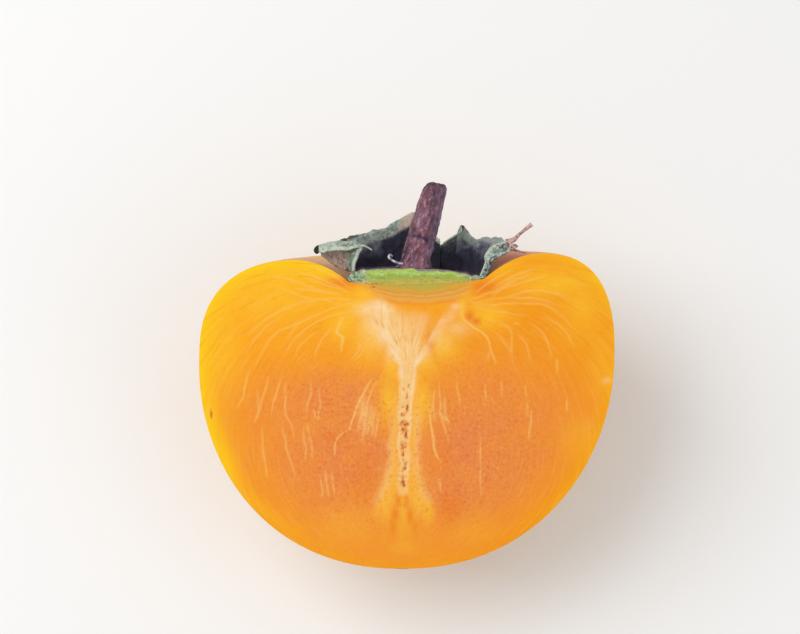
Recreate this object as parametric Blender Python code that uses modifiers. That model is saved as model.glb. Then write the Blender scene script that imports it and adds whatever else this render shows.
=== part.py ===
"""Half of a Japanese persimmon, cut down beside its stem and lying on its round back with the cut face up.

Blender 4.5, metres, +Z up. The origin is the middle of the small flat spot that the half rests on.
Every piece is shaped in the fruit's own frame, where the fruit stands up: the blossom end is at the
origin, +Z runs up to the stem, +X to the right of the cut face, and +Y from the cut into the fruit.
The empty named laid_down then turns that frame onto the fruit's back.
"""

from math import cos, pi, radians, sin

import bmesh
import bpy
import numpy as np
from mathutils import Vector

MM = 0.001
GAP = 0.3 * MM  # left between pieces that touch

# The fruit, as turned: a squat round body with broad shoulders round a hollow at the stem end.
WIDEST_RADIUS = 38.0 * MM
WIDEST_AT = 38.4 * MM
CREST_RADIUS = 22.5 * MM
CREST_AT = 57.6 * MM
SEAT_RADIUS = 12.4 * MM
SEAT_AT = 53.3 * MM
SEAT_DISH = 0.7 * MM  # how much lower the middle of the hollow's floor is than its edge
BELLY_POWERS = (2.2, 2.0)  # superellipse below the widest ring: across, and down
SHOULDER_POWERS = (2.35, 2.7)  # and above it

# How far the grown fruit strays from the turned shape.
BLOSSOM_SHIFT = -1.1 * MM  # the blossom end lies left of the middle
TOP_SHIFT = 0.2 * MM  # and the shoulders a little right of it
HOLLOW_SHIFT = 1.8 * MM  # the hollow lies further right than the shoulders
SHOULDER_RISE = 0.6 * MM  # the right crest is this much higher, and the left one lower

# How the half lies.
LIE_BACK = radians(17.0)  # the cut face's tilt from level, where the half balances
SPOT_DEPTH = 0.4 * MM  # how much of the round back the flat spot takes off

# The calyx: a fleshy disc in the hollow, and the dry sepals that stand round it.
DISC_RADIUS = 12.0 * MM
DISC_RIM_RADIUS = 12.5 * MM
DISC_RIM_AT = 54.2 * MM
DISC_TOP_AT = 55.5 * MM
DISC_CROWN = 0.8 * MM  # how much higher the middle of the disc's top is than its edge
DISC_FALL = 0.075  # slope of the disc's top against its floor, down to the right
SEPAL_THICKNESS = 0.8 * MM
SEPAL_FOOT_RADIUS = 11.7 * MM
SEPAL_FOOT_AT = DISC_TOP_AT - DISC_CROWN * (SEPAL_FOOT_RADIUS / DISC_RADIUS) ** 2 + GAP

# The stem: a snapped woody stub that leans to the right and a little towards the cut.
STEM_FOOT = Vector((1.0 * MM, 3.4 * MM, 55.8 * MM))
STEM_LENGTH = 15.7 * MM
STEM_FOOT_RADIUS = 3.2 * MM
STEM_RADIUS = 2.7 * MM
STEM_TOP_RADIUS = 2.1 * MM
STEM_LEAN_RIGHT = radians(14.5)
STEM_LEAN_OUT = radians(4.0)

TURNED_STEPS = 72

FLESH = (0.94, 0.42, 0.03, 1.0)
CALYX_GREEN = (0.50, 0.52, 0.10, 1.0)
SEPAL_GREEN = (0.22, 0.25, 0.17, 1.0)
BARK = (0.13, 0.05, 0.06, 1.0)
SCALE_GREY = (0.55, 0.52, 0.50, 1.0)


def start_empty_scene():
    """Clears the scene and makes one collection for the pieces and one for the cutters."""
    for obj in list(bpy.data.objects):
        bpy.data.objects.remove(obj, do_unlink=True)
    made = []
    for name in ("persimmon_half", "cutters"):
        collection = bpy.data.collections.new(name)
        bpy.context.scene.collection.children.link(collection)
        made.append(collection)
    return made


def plain_material(name, color, roughness):
    """A plain surface that isn't metal."""
    material = bpy.data.materials.new(name)
    material.use_nodes = True
    shader = material.node_tree.nodes["Principled BSDF"]
    shader.inputs["Base Color"].default_value = color
    shader.inputs["Roughness"].default_value = roughness
    shader.inputs["Metallic"].default_value = 0.0
    return material


def add_object(name, mesh, collection, material=None):
    """Puts a mesh in the scene, in the fruit's frame."""
    obj = bpy.data.objects.new(name, mesh)
    collection.objects.link(obj)
    if material:
        mesh.materials.append(material)
    return obj


def evaluated_mesh(obj):
    """The mesh that a helper object's modifiers or bevel make. The helper is removed."""
    bpy.context.scene.collection.objects.link(obj)
    bpy.context.view_layer.update()
    evaluated = obj.evaluated_get(bpy.context.evaluated_depsgraph_get())
    mesh = bpy.data.meshes.new_from_object(evaluated)
    mesh.name = obj.name
    bpy.data.objects.remove(obj, do_unlink=True)
    return mesh


def turned_mesh(name, radii, heights):
    """A solid of revolution about +Z. The profile runs from the axis at the top to the axis at the bottom."""
    profile = bpy.data.meshes.new(name)
    points = [(radius, 0.0, height) for radius, height in zip(radii, heights)]
    edges = [(i, i + 1) for i in range(len(points) - 1)]
    profile.from_pydata(points, edges, [])
    lathe = bpy.data.objects.new(name, profile)
    screw = lathe.modifiers.new("turn", "SCREW")
    screw.steps = screw.render_steps = TURNED_STEPS
    screw.use_merge_vertices = True
    screw.merge_threshold = 0.01 * MM
    return evaluated_mesh(lathe)


def reshape(mesh, formula):
    """Moves every vertex by a formula on the whole array of points."""
    points = np.empty(len(mesh.vertices) * 3)
    mesh.vertices.foreach_get("co", points)
    mesh.vertices.foreach_set("co", formula(points.reshape(-1, 3)).ravel())
    mesh.update()


def shade_round(mesh):
    """Smooth shading, with the cut edges kept sharp."""
    mesh.shade_smooth()
    mesh.set_sharp_from_angle(angle=radians(40))


def smooth_step(value):
    """Rises from 0 to 1 with no corner at either end."""
    value = np.clip(value, 0.0, 1.0)
    return value * value * (3 - 2 * value)


def as_grown(points):
    """The turned fruit's points with its growth added: the blossom end off to the left, the hollow off to
    the right, and the right shoulder higher than the left one."""
    x, y, z = points.T
    radius = np.hypot(x, y)
    high = smooth_step((z - WIDEST_AT) / (CREST_AT - WIDEST_AT))
    inward = np.clip(1 - (radius / WIDEST_RADIUS) ** 2, 0.0, 1.0)
    shift = BLOSSOM_SHIFT + (TOP_SHIFT - BLOSSOM_SHIFT) * z / CREST_AT + HOLLOW_SHIFT * high * inward
    rise = SHOULDER_RISE * high * x / CREST_RADIUS
    return np.stack([x + shift, y, z + rise], axis=1)


def belly(count):
    """Radii and heights from the widest ring down to the blossom end, a quarter of a superellipse."""
    turn = np.linspace(0, pi / 2, count)
    radii = WIDEST_RADIUS * np.cos(turn) ** (2 / BELLY_POWERS[0])
    heights = WIDEST_AT * (1 - np.sin(turn) ** (2 / BELLY_POWERS[1]))
    radii[-1] = 0.0
    return radii, heights


def shoulder(count):
    """Radii and heights from the crest out and down to the widest ring, a quarter of a superellipse."""
    turn = np.linspace(pi / 2, 0, count)
    radii = CREST_RADIUS + (WIDEST_RADIUS - CREST_RADIUS) * np.cos(turn) ** (2 / SHOULDER_POWERS[0])
    heights = WIDEST_AT + (CREST_AT - WIDEST_AT) * np.sin(turn) ** (2 / SHOULDER_POWERS[1])
    return radii, heights


def hollow(count):
    """Radii and heights from the seat's edge up to the crest, on a parabola that is level at the crest."""
    radii = np.linspace(SEAT_RADIUS, CREST_RADIUS, count)
    inward = (CREST_RADIUS - radii) / (CREST_RADIUS - SEAT_RADIUS)
    return radii, CREST_AT - (CREST_AT - SEAT_AT) * inward**2


def seat_floor(count, radius, edge_at):
    """Radii and heights of a shallow dish, from its middle out to its edge."""
    radii = np.linspace(0, radius, count)
    return radii, edge_at - SEAT_DISH * (1 - (radii / SEAT_RADIUS) ** 2)


def joined(*stretches):
    """One profile from stretches that each begin where the last one ends."""
    radii = [stretches[0][0]] + [stretch[0][1:] for stretch in stretches[1:]]
    heights = [stretches[0][1]] + [stretch[1][1:] for stretch in stretches[1:]]
    return np.concatenate(radii), np.concatenate(heights)


def fruit_mesh():
    """The whole fruit, before it is cut."""
    profile = joined(seat_floor(5, SEAT_RADIUS, SEAT_AT), hollow(8), shoulder(12), belly(18))
    mesh = turned_mesh("fruit_half", *profile)
    reshape(mesh, as_grown)
    return mesh


def as_settled(points):
    """The calyx's turned points as it sits in the grown hollow: its top falls to the right, so the disc is
    thinner there, and what stands on it falls too."""
    share = smooth_step((points[:, 2] - SEAT_AT - GAP) / (DISC_TOP_AT - DISC_CROWN - SEAT_AT - GAP))
    settled = as_grown(points)
    settled[:, 2] -= DISC_FALL * points[:, 0] * share
    return settled


def disc_mesh():
    """The fleshy disc under the sepals. It follows the hollow's floor below, has a rounded rim, and its top
    is lightly domed."""
    under_radii, under_heights = seat_floor(5, DISC_RADIUS, SEAT_AT + GAP)
    top_radii = np.linspace(0, DISC_RADIUS, 5)
    top_heights = DISC_TOP_AT - DISC_CROWN * (top_radii / DISC_RADIUS) ** 2
    radii = np.concatenate([top_radii, [DISC_RIM_RADIUS], under_radii[::-1]])
    heights = np.concatenate([top_heights, [DISC_RIM_AT], under_heights[::-1]])
    mesh = turned_mesh("calyx_disc", radii, heights)
    reshape(mesh, as_settled)
    return mesh


def sepal_surface(angles, wall, flare, roll_radius=0.0, roll=0.0, flap=0.0):
    """A sheet that stands on the disc along an arc, leans out, and may roll over outwards at its top and run
    on as a flap. angles are the arc's two ends about the stem's axis, and wall is pairs of (share of the
    arc, height). Returns a formula from shares across and up to points."""
    start, end = (radians(angle) for angle in angles)
    outward = (start + end) / 2
    shares, heights = zip(*wall)

    def surface(across, up):
        angle = start + (end - start) * across
        height = np.interp(across, shares, heights)
        run = up * (height + roll_radius * roll + flap)
        climb = np.minimum(run, height)
        turn = np.clip((run - height) / max(roll_radius, 1e-9), 0.0, roll)
        beyond = np.clip(run - height - roll_radius * roll, 0.0, None)
        out = flare * (climb / height) ** 2.2 + roll_radius * (1 - np.cos(turn)) + beyond * sin(roll)
        x = SEPAL_FOOT_RADIUS * np.cos(angle) + out * cos(outward)
        y = SEPAL_FOOT_RADIUS * np.sin(angle) + out * sin(outward)
        z = SEPAL_FOOT_AT + climb + roll_radius * np.sin(turn) + beyond * cos(roll)
        return as_settled(np.stack([x, y, z], axis=1))

    return surface


def sheet_mesh(name, surface, columns, rows):
    """A flat grid bent onto a surface, and its faces turned away from the stem."""
    bm = bmesh.new()
    bmesh.ops.create_grid(bm, x_segments=columns, y_segments=rows, size=0.5)
    mesh = bpy.data.meshes.new(name)
    bm.to_mesh(mesh)
    bm.free()
    reshape(mesh, lambda points: surface(points[:, 0] + 0.5, points[:, 1] + 0.5))
    return mesh


def add_sepal(name, surface, collection, material, columns, rows):
    """A sheet with the sepal's thickness, half of it on each side."""
    mesh = sheet_mesh(name, surface, columns, rows)
    obj = add_object(name, mesh, collection, material)
    solidify = obj.modifiers.new("thickness", "SOLIDIFY")
    solidify.thickness = SEPAL_THICKNESS
    solidify.offset = 0.0
    shade_round(mesh)
    return obj


def stem_mesh():
    """The stub, turned upright and then leant over: flared where it joins the disc, and narrower at its
    snapped top."""
    shares = np.array([1.0, 1.0, 0.97, 0.85, 0.45, 0.12, 0.0, 0.0])
    radii = np.array([0.0, 0.62, 0.93, 1.0, 1.0, 1.0, 1.0, 0.0])
    full = np.interp(shares, [0.0, 0.12, 0.45, 1.0], [STEM_FOOT_RADIUS, STEM_RADIUS, STEM_RADIUS, STEM_TOP_RADIUS])
    mesh = turned_mesh("stem", radii * full, shares * STEM_LENGTH)

    def lean(points):
        """Slides each level sideways, so that the foot stays level on the disc."""
        x, y, z = points.T
        along = z * cos(STEM_LEAN_RIGHT) * cos(STEM_LEAN_OUT)
        shift_x = z * sin(STEM_LEAN_RIGHT)
        shift_y = -z * sin(STEM_LEAN_OUT)
        return np.stack([x + shift_x, y + shift_y, along], axis=1) + np.array(STEM_FOOT)

    reshape(mesh, lean)
    return mesh


def tube_mesh(name, points, radii):
    """A tapered rod along a smooth curve, made a closed mesh. points and radii are in millimetres."""
    curve = bpy.data.curves.new(name, "CURVE")
    curve.dimensions = "3D"
    curve.bevel_depth = MM
    curve.bevel_resolution = 2
    curve.resolution_u = 3
    curve.use_fill_caps = True
    spline = curve.splines.new("BEZIER")
    spline.bezier_points.add(len(points) - 1)
    for knot, point, radius in zip(spline.bezier_points, points, radii):
        knot.co = Vector(point) * MM
        knot.radius = radius
        knot.handle_left_type = "AUTO"
        knot.handle_right_type = "AUTO"
    rod = bpy.data.objects.new(name, curve)
    mesh = evaluated_mesh(rod)
    bm = bmesh.new()
    bm.from_mesh(mesh)
    bmesh.ops.remove_doubles(bm, verts=bm.verts, dist=0.001 * MM)
    bm.to_mesh(mesh)
    bm.free()
    return mesh


def hide(obj, frame=None):
    """Marks a helper that shapes another object and isn't part of the model."""
    obj.hide_render = True
    obj.display_type = "WIRE"
    obj.parent = frame


def add_box_cutter(name, size, location, collection, frame=None):
    """A box that takes material away."""
    bm = bmesh.new()
    bmesh.ops.create_cube(bm, size=1.0)
    bmesh.ops.scale(bm, vec=size, verts=bm.verts)
    mesh = bpy.data.meshes.new(name)
    bm.to_mesh(mesh)
    bm.free()
    box = add_object(name, mesh, collection)
    box.location = location
    hide(box, frame)
    return box


def combine(obj, other, operation):
    """Cuts or joins another object with this one."""
    boolean = obj.modifiers.new(other.name, "BOOLEAN")
    boolean.operation = operation
    boolean.solver = "EXACT"
    boolean.object = other


def resting_point():
    """The flat spot's middle: the point of the back that is lowest once the fruit has been laid down, moved
    in by the spot's depth."""
    radii, heights = belly(2000)
    lowest = np.argmax(radii * cos(LIE_BACK) - heights * sin(LIE_BACK))
    on_skin = as_grown(np.array([[0.0, radii[lowest], heights[lowest]]]))[0]
    down = Vector((0.0, cos(LIE_BACK), -sin(LIE_BACK)))
    return Vector(on_skin) - down * SPOT_DEPTH


def add_laid_down_frame(collection):
    """The empty that holds the fruit's frame: turned onto the back, with the flat spot at the origin."""
    empty = bpy.data.objects.new("laid_down", None)
    collection.objects.link(empty)
    empty.rotation_euler = (LIE_BACK - pi / 2, 0.0, 0.0)
    bpy.context.view_layer.update()
    empty.location = -(empty.matrix_world.to_3x3() @ resting_point())
    return empty


def add_fruit(collection, knife, table):
    """The fruit: one solid, cut flat by the knife, with a flat spot where it lies on the table."""
    fruit = add_object("fruit_half", fruit_mesh(), collection, plain_material("persimmon_flesh", FLESH, 0.45))
    shade_round(fruit.data)
    combine(fruit, knife, "DIFFERENCE")
    combine(fruit, table, "DIFFERENCE")


def add_disc(collection, knife):
    """The calyx's fleshy disc, cut with the fruit."""
    disc = add_object("calyx_disc", disc_mesh(), collection, plain_material("calyx_flesh", CALYX_GREEN, 0.6))
    shade_round(disc.data)
    combine(disc, knife, "DIFFERENCE")


def add_left_sepal(collection, knife, material):
    """Only the strip that the knife left, folded out over the shoulder as a flap."""
    surface = sepal_surface(
        angles=(184, 164),
        wall=[(0.0, 3.0 * MM), (1.0, 3.4 * MM)],
        flare=-0.8 * MM,
        roll_radius=0.9 * MM,
        roll=radians(98),
        flap=5.8 * MM,
    )
    combine(add_sepal("sepal_left", surface, collection, material, 6, 20), knife, "DIFFERENCE")


def add_back_left_sepal(collection, material):
    """The largest, highest behind the stem, with its rim rolled outwards."""
    surface = sepal_surface(
        angles=(160, 69.5),
        wall=[(0.0, 4.4 * MM), (0.4, 5.6 * MM), (0.7, 8.4 * MM), (0.84, 7.0 * MM), (1.0, 4.2 * MM)],
        flare=1.4 * MM,
        roll_radius=0.9 * MM,
        roll=radians(110),
    )
    add_sepal("sepal_back_left", surface, collection, material, 18, 10)


def add_back_right_sepal(collection, material):
    """Narrow, with a single peak."""
    surface = sepal_surface(
        angles=(67.5, 35),
        wall=[(0.0, 4.0 * MM), (0.5, 8.0 * MM), (1.0, 6.0 * MM)],
        flare=1.2 * MM,
    )
    add_sepal("sepal_back_right", surface, collection, material, 10, 8)


def add_right_sepal(collection, knife, material, cutters, frame):
    """Leans out over the shoulder, and its corner at the cut has dried to a thin twisted tip."""
    surface = sepal_surface(
        angles=(33, -3),
        wall=[(0.0, 6.2 * MM), (1.0, 6.0 * MM)],
        flare=4.4 * MM,
    )
    sepal = add_sepal("sepal_right", surface, collection, material, 10, 8)
    combine(sepal, knife, "DIFFERENCE")
    points = [(16.6, 2.6, 60.0), (18.6, 2.0, 61.0), (20.6, 1.6, 62.2), (22.4, 1.3, 63.4)]
    radii = [0.75, 0.55, 0.40, 0.45]
    tip = add_object("dried_tip", tube_mesh("dried_tip", points, radii), cutters)
    hide(tip, frame)
    combine(sepal, tip, "UNION")


def add_stem(collection):
    """The snapped woody stub."""
    stem = add_object("stem", stem_mesh(), collection, plain_material("stem_bark", BARK, 0.75))
    shade_round(stem.data)


def add_scale(collection):
    """A small dry scale that curls up beside the stem's foot."""
    points = [(-2.9, 3.2, 56.5), (-4.0, 2.9, 56.7), (-4.2, 2.6, 57.5), (-3.5, 2.4, 57.9), (-3.0, 2.5, 57.4)]
    radii = [0.35, 0.35, 0.30, 0.25, 0.20]
    mesh = tube_mesh("stem_scale", points, radii)
    add_object("stem_scale", mesh, collection, plain_material("dry_scale", SCALE_GREY, 0.7))


pieces, cutters = start_empty_scene()
laid_down = add_laid_down_frame(pieces)
knife = add_box_cutter("knife", (120 * MM, 60 * MM, 120 * MM), (0.0, -30 * MM, 30 * MM), cutters, laid_down)
table = add_box_cutter("table", (120 * MM, 120 * MM, 20 * MM), (0.0, 0.0, -10 * MM), cutters)
dry_sepal = plain_material("dry_sepal", SEPAL_GREEN, 0.8)

add_fruit(pieces, knife, table)
add_disc(pieces, knife)
add_left_sepal(pieces, knife, dry_sepal)
add_back_left_sepal(pieces, dry_sepal)
add_back_right_sepal(pieces, dry_sepal)
add_right_sepal(pieces, knife, dry_sepal, cutters, laid_down)
add_stem(pieces)
add_scale(pieces)

for piece in pieces.objects:
    if piece != laid_down:
        piece.parent = laid_down
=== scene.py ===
import bpy
import numpy as np
from mathutils import Matrix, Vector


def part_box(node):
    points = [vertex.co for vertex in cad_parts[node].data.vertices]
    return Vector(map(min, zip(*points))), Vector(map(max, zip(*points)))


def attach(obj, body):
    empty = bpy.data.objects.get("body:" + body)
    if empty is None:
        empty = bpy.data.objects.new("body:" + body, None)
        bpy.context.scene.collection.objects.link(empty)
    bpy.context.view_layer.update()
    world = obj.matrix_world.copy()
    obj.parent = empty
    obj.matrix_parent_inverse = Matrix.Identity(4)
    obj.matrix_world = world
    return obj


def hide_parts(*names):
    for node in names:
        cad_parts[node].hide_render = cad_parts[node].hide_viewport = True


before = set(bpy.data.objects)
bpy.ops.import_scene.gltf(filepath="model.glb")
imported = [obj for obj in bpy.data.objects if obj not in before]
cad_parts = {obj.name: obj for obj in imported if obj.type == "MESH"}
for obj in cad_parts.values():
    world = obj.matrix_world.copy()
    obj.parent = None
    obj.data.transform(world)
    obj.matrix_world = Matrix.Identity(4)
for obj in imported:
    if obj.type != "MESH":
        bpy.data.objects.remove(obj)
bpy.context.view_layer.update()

# --------------------------------------------------------------------------------------------------------
# THE FRUIT
# Half of a ripe, squat persimmon, cut down beside its stem: moist orange flesh in a thin waxy skin, with
# a pale fibrous core that widens to a funnel. It grew as one piece, so it is one closed mesh, shaped in
# its own frame in millimetres: the blossom end at the origin, +Z up to the stem, +Y away from the cut.

MM = 0.001
WIDEST_RADIUS, WIDEST_AT = 38.0, 38.4
CREST_RADIUS, CREST_AT = 22.5, 57.6
SEAT_RADIUS, SEAT_AT, SEAT_DISH = 12.4, 53.3, 0.7
BELLY_POWERS = (2.2, 2.0)
SHOULDER_POWERS = (2.35, 2.7)
BLOSSOM_SHIFT, TOP_SHIFT, HOLLOW_SHIFT = -1.1, 0.2, 1.8
SHOULDER_RISE = 0.6
LIE_BACK = np.radians(17.0)  # how far from level the cut face tilts as the half lies on its back

FRUIT_COLUMNS = 148  # from the axis to the rim, on the cut face and on each side of the skin
CUT_ROWS = 228
SKIN_TURNS = 88
CUT_CROWDING = 0.7  # how far the skin's angles crowd towards the cut, from 0 to 1
MIDDLE_AT = 33.0  # height of a point well inside, from which the skin swells and dents
LOBE_DEPTH = 0.35


def smooth_step(value):
    """Rises from 0 to 1 with no corner at either end: three squares less two cubes."""
    value = np.clip(value, 0.0, 1.0)
    return value * value * (3 - 2 * value)


def soft_noise(points, size, seed):
    """Soft hills and dips from -1 to 1: random heights at the corners of cubes of that size, joined by
    smooth steps. size is one length, or one for each axis."""
    heights = np.random.default_rng(seed).uniform(-1, 1, (32, 32, 32))
    place = points / np.asarray(size)
    cell = np.floor(place).astype(int)
    share = smooth_step(place - cell)
    total = np.zeros(len(points))
    for corner in np.ndindex(2, 2, 2):
        x, y, z = ((cell + corner) % 32).T
        total += heights[x, y, z] * np.where(corner, share, 1 - share).prod(axis=1)
    return total


def grown(points):
    """Turned points with the fruit's growth added: the blossom end off to the left, the hollow off to the
    right, and the right shoulder higher than the left one."""
    x, y, z = points.T
    high = smooth_step((z - WIDEST_AT) / (CREST_AT - WIDEST_AT))
    inward = np.clip(1 - (np.hypot(x, y) / WIDEST_RADIUS) ** 2, 0.0, 1.0)
    shift = BLOSSOM_SHIFT + (TOP_SHIFT - BLOSSOM_SHIFT) * z / CREST_AT + HOLLOW_SHIFT * high * inward
    return np.stack([x + shift, y, z + SHOULDER_RISE * high * x / CREST_RADIUS], axis=1)


def crown(radius):
    """Height of the outside above the widest ring: a shallow dish for the calyx, a parabola up to the
    crest, and a superellipse out over the shoulder."""
    dish = SEAT_AT - SEAT_DISH * (1 - (radius / SEAT_RADIUS) ** 2)
    bank = CREST_AT - (CREST_AT - SEAT_AT) * ((CREST_RADIUS - radius) / (CREST_RADIUS - SEAT_RADIUS)) ** 2
    over = np.clip((radius - CREST_RADIUS) / (WIDEST_RADIUS - CREST_RADIUS), 0, 1) ** SHOULDER_POWERS[0]
    shoulder = WIDEST_AT + (CREST_AT - WIDEST_AT) * (1 - over) ** (1 / SHOULDER_POWERS[1])
    return np.select([radius < SEAT_RADIUS, radius < CREST_RADIUS], [dish, bank], shoulder)


def belly(radius):
    """Height of the outside below the widest ring, a superellipse down to the blossom end."""
    out = np.clip(radius / WIDEST_RADIUS, 0, 1) ** BELLY_POWERS[0]
    return WIDEST_AT * (1 - (1 - out) ** (1 / BELLY_POWERS[1]))


def laid_down(points):
    """Points in the fruit's frame turned onto its back: its own up becomes away, its front becomes up."""
    x, y, z = points.T
    away = y * np.sin(LIE_BACK) + z * np.cos(LIE_BACK)
    up = z * np.sin(LIE_BACK) - y * np.cos(LIE_BACK)
    return np.stack([x, away, up], axis=1)


def place_in_frame():
    """How far laid-down points move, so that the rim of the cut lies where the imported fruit's does."""
    radii = np.linspace(0, WIDEST_RADIUS, 2000)
    radii = np.concatenate([-radii[::-1], radii])
    heights = np.concatenate([crown(abs(radii)), belly(abs(radii))])
    rim = laid_down(grown(np.stack([np.tile(radii, 2), np.zeros(len(heights)), heights], axis=1)))
    low, high = (np.array(corner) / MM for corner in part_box("fruit_half"))
    middle = (low[0] + high[0] - rim[:, 0].min() - rim[:, 0].max()) / 2
    return np.array([middle, low[1] - rim[:, 1].min(), high[2] - rim[:, 2].max()])


PLACE = place_in_frame()


def quads_of(ids):
    """The quads of a grid of vertex numbers. They face the cross product of its rows' and columns'
    directions."""
    return np.stack([ids[:-1, :-1], ids[1:, :-1], ids[1:, 1:], ids[:-1, 1:]], axis=-1).reshape(-1, 4)


def make_piece(name, points, quads, attributes=(), outer_quads=0):
    """One smooth mesh object from points in the fruit's frame. A quad whose neighbouring corners are the
    same is a triangle. Attributes are one number or one vector for each vertex, by name. The first
    outer_quads faces take the second material."""
    placed = laid_down(points) + PLACE
    placed[:, 2] = np.maximum(placed[:, 2], 0.0)
    kept = quads != np.roll(quads, -1, axis=1)
    quads, kept = quads[kept.sum(axis=1) > 2], kept[kept.sum(axis=1) > 2]
    sizes = kept.sum(axis=1)
    mesh = bpy.data.meshes.new(name)
    mesh.vertices.add(len(points))
    mesh.vertices.foreach_set("co", (placed * MM).ravel())
    mesh.loops.add(sizes.sum())
    mesh.loops.foreach_set("vertex_index", quads[kept])
    mesh.polygons.add(len(sizes))
    mesh.polygons.foreach_set("loop_start", np.cumsum(sizes) - sizes)
    mesh.polygons.foreach_set("material_index", (np.arange(len(sizes)) < outer_quads).astype(np.int32))
    mesh.update(calc_edges=True)
    mesh.shade_smooth()
    for attribute, values in dict(attributes).items():
        vector = values.ndim == 2
        layer = mesh.attributes.new(attribute, "FLOAT_VECTOR" if vector else "FLOAT", "POINT")
        layer.data.foreach_set("vector" if vector else "value", values.ravel())
    piece = bpy.data.objects.new(name, mesh)
    bpy.context.scene.collection.objects.link(piece)
    return piece


def cut_half(radii, top, bottom, rows, turns):
    """A turned body cut through its axis. radii run from the axis to the rim, where top meets bottom. The
    outside is the profile carried round the axis, with its angles crowded towards the cut, and the cut
    face joins each height of the bottom to the top's above it. Returns points, quads, how many quads are
    outside, and the numbers of the cut face's vertices and of the outside's."""
    count = len(radii) - 1
    share = np.linspace(0, 1, turns + 1)
    angle = np.pi * (share - CUT_CROWDING * np.sin(2 * np.pi * share) / (2 * np.pi))
    radius = np.concatenate([radii, radii[-2::-1]])[1:-1, None]
    height = np.concatenate([top, bottom[-2::-1]])[1:-1, None] + 0 * angle
    outside = np.stack([radius * np.cos(angle), radius * np.sin(angle), height], axis=-1).reshape(-1, 3)
    ids = np.zeros((2 * count + 1, turns + 1), int)
    ids[1:-1] = 2 + np.arange(len(outside)).reshape(-1, turns + 1)
    ids[-1] = 1

    cut = np.empty((rows + 1, 2 * count + 1), int)
    cut[-1] = np.concatenate([ids[count:0:-1, -1], ids[: count + 1, 0]])
    cut[0] = np.concatenate([ids[count:-1, -1], ids[: count - 1 : -1, 0]])
    cut[1:-1, 0], cut[1:-1, -1] = cut[0, 0], cut[0, -1]
    cut[1:-1, 1:-1] = 2 + len(outside) + np.arange((rows - 1) * (2 * count - 1)).reshape(rows - 1, -1)
    column = np.concatenate([-radii[-2:0:-1], radii[:-1]])
    across = abs(column)
    low, high = np.interp(across, radii, bottom), np.interp(across, radii, top)
    rise = np.linspace(0, 1, rows + 1)[1:-1, None]
    flat = 0 * column + 0 * rise
    inside = np.stack([column + flat, flat, low + (high - low) * rise], axis=-1).reshape(-1, 3)

    poles = np.array([[0, 0, top[0]], [0, 0, bottom[0]]])
    outer_quads, cut_quads = quads_of(ids), quads_of(cut.T)
    points = np.concatenate([poles, outside, inside])
    quads = np.concatenate([outer_quads, cut_quads])
    return points, quads, len(outer_quads), np.unique(cut), np.unique(ids)


def smooth_line(points, count=12):
    """Points along a curve that passes through the given ones: Catmull-Rom cubics with doubled ends.
    Lines of points go in as one point each, so that it curves from line to line."""
    points = np.asarray(points, float)
    padded = np.concatenate([points[:1], points, points[-1:]])
    place = np.linspace(0, len(points) - 1 - 1e-9, count)
    span = place.astype(int)
    t = (place - span).reshape(-1, *[1] * (points.ndim - 1))
    before, start, end, after = (padded[span + i] for i in range(4))
    turn = 2 * before - 5 * start + 4 * end - after
    bend = 3 * (start - end) + after - before
    return start + 0.5 * t * (end - before + t * (turn + t * bend))


def gap_to(spots, line):
    """Distance from each spot to a line through points, the same with a sign for the side it lies on, and
    how far along the line its nearest place is."""
    starts, steps = line[:-1], np.diff(line, axis=0)
    away = spots[:, None] - starts
    share = np.clip((away * steps).sum(-1) / (steps**2).sum(-1), 0, 1)
    gaps = np.linalg.norm(away - share[..., None] * steps, axis=-1)
    nearest = gaps.argmin(axis=1)
    row = np.arange(len(spots))
    away, steps, gaps = away[row, nearest], steps[nearest], gaps[row, nearest]
    off = (away[:, 0] * steps[:, 1] - away[:, 1] * steps[:, 0]) / np.linalg.norm(steps, axis=1)
    return gaps, off, (nearest + share[row, nearest]) / len(line[1:])


def spots_at(x, z, blobs):
    """Soft oval spots, each (x, z, half width, half height), as one layer from 0 to 1: the strongest of
    their bell curves. A fifth number is the strength of a spot that isn't full."""
    total = np.zeros(len(x))
    for at_x, at_z, wide, high, *strength in blobs:
        spot = np.exp(-(((x - at_x) / wide) ** 2) - ((z - at_z) / high) ** 2)
        total = np.maximum(total, spot * (strength[0] if strength else 1.0))
    return total


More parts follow.
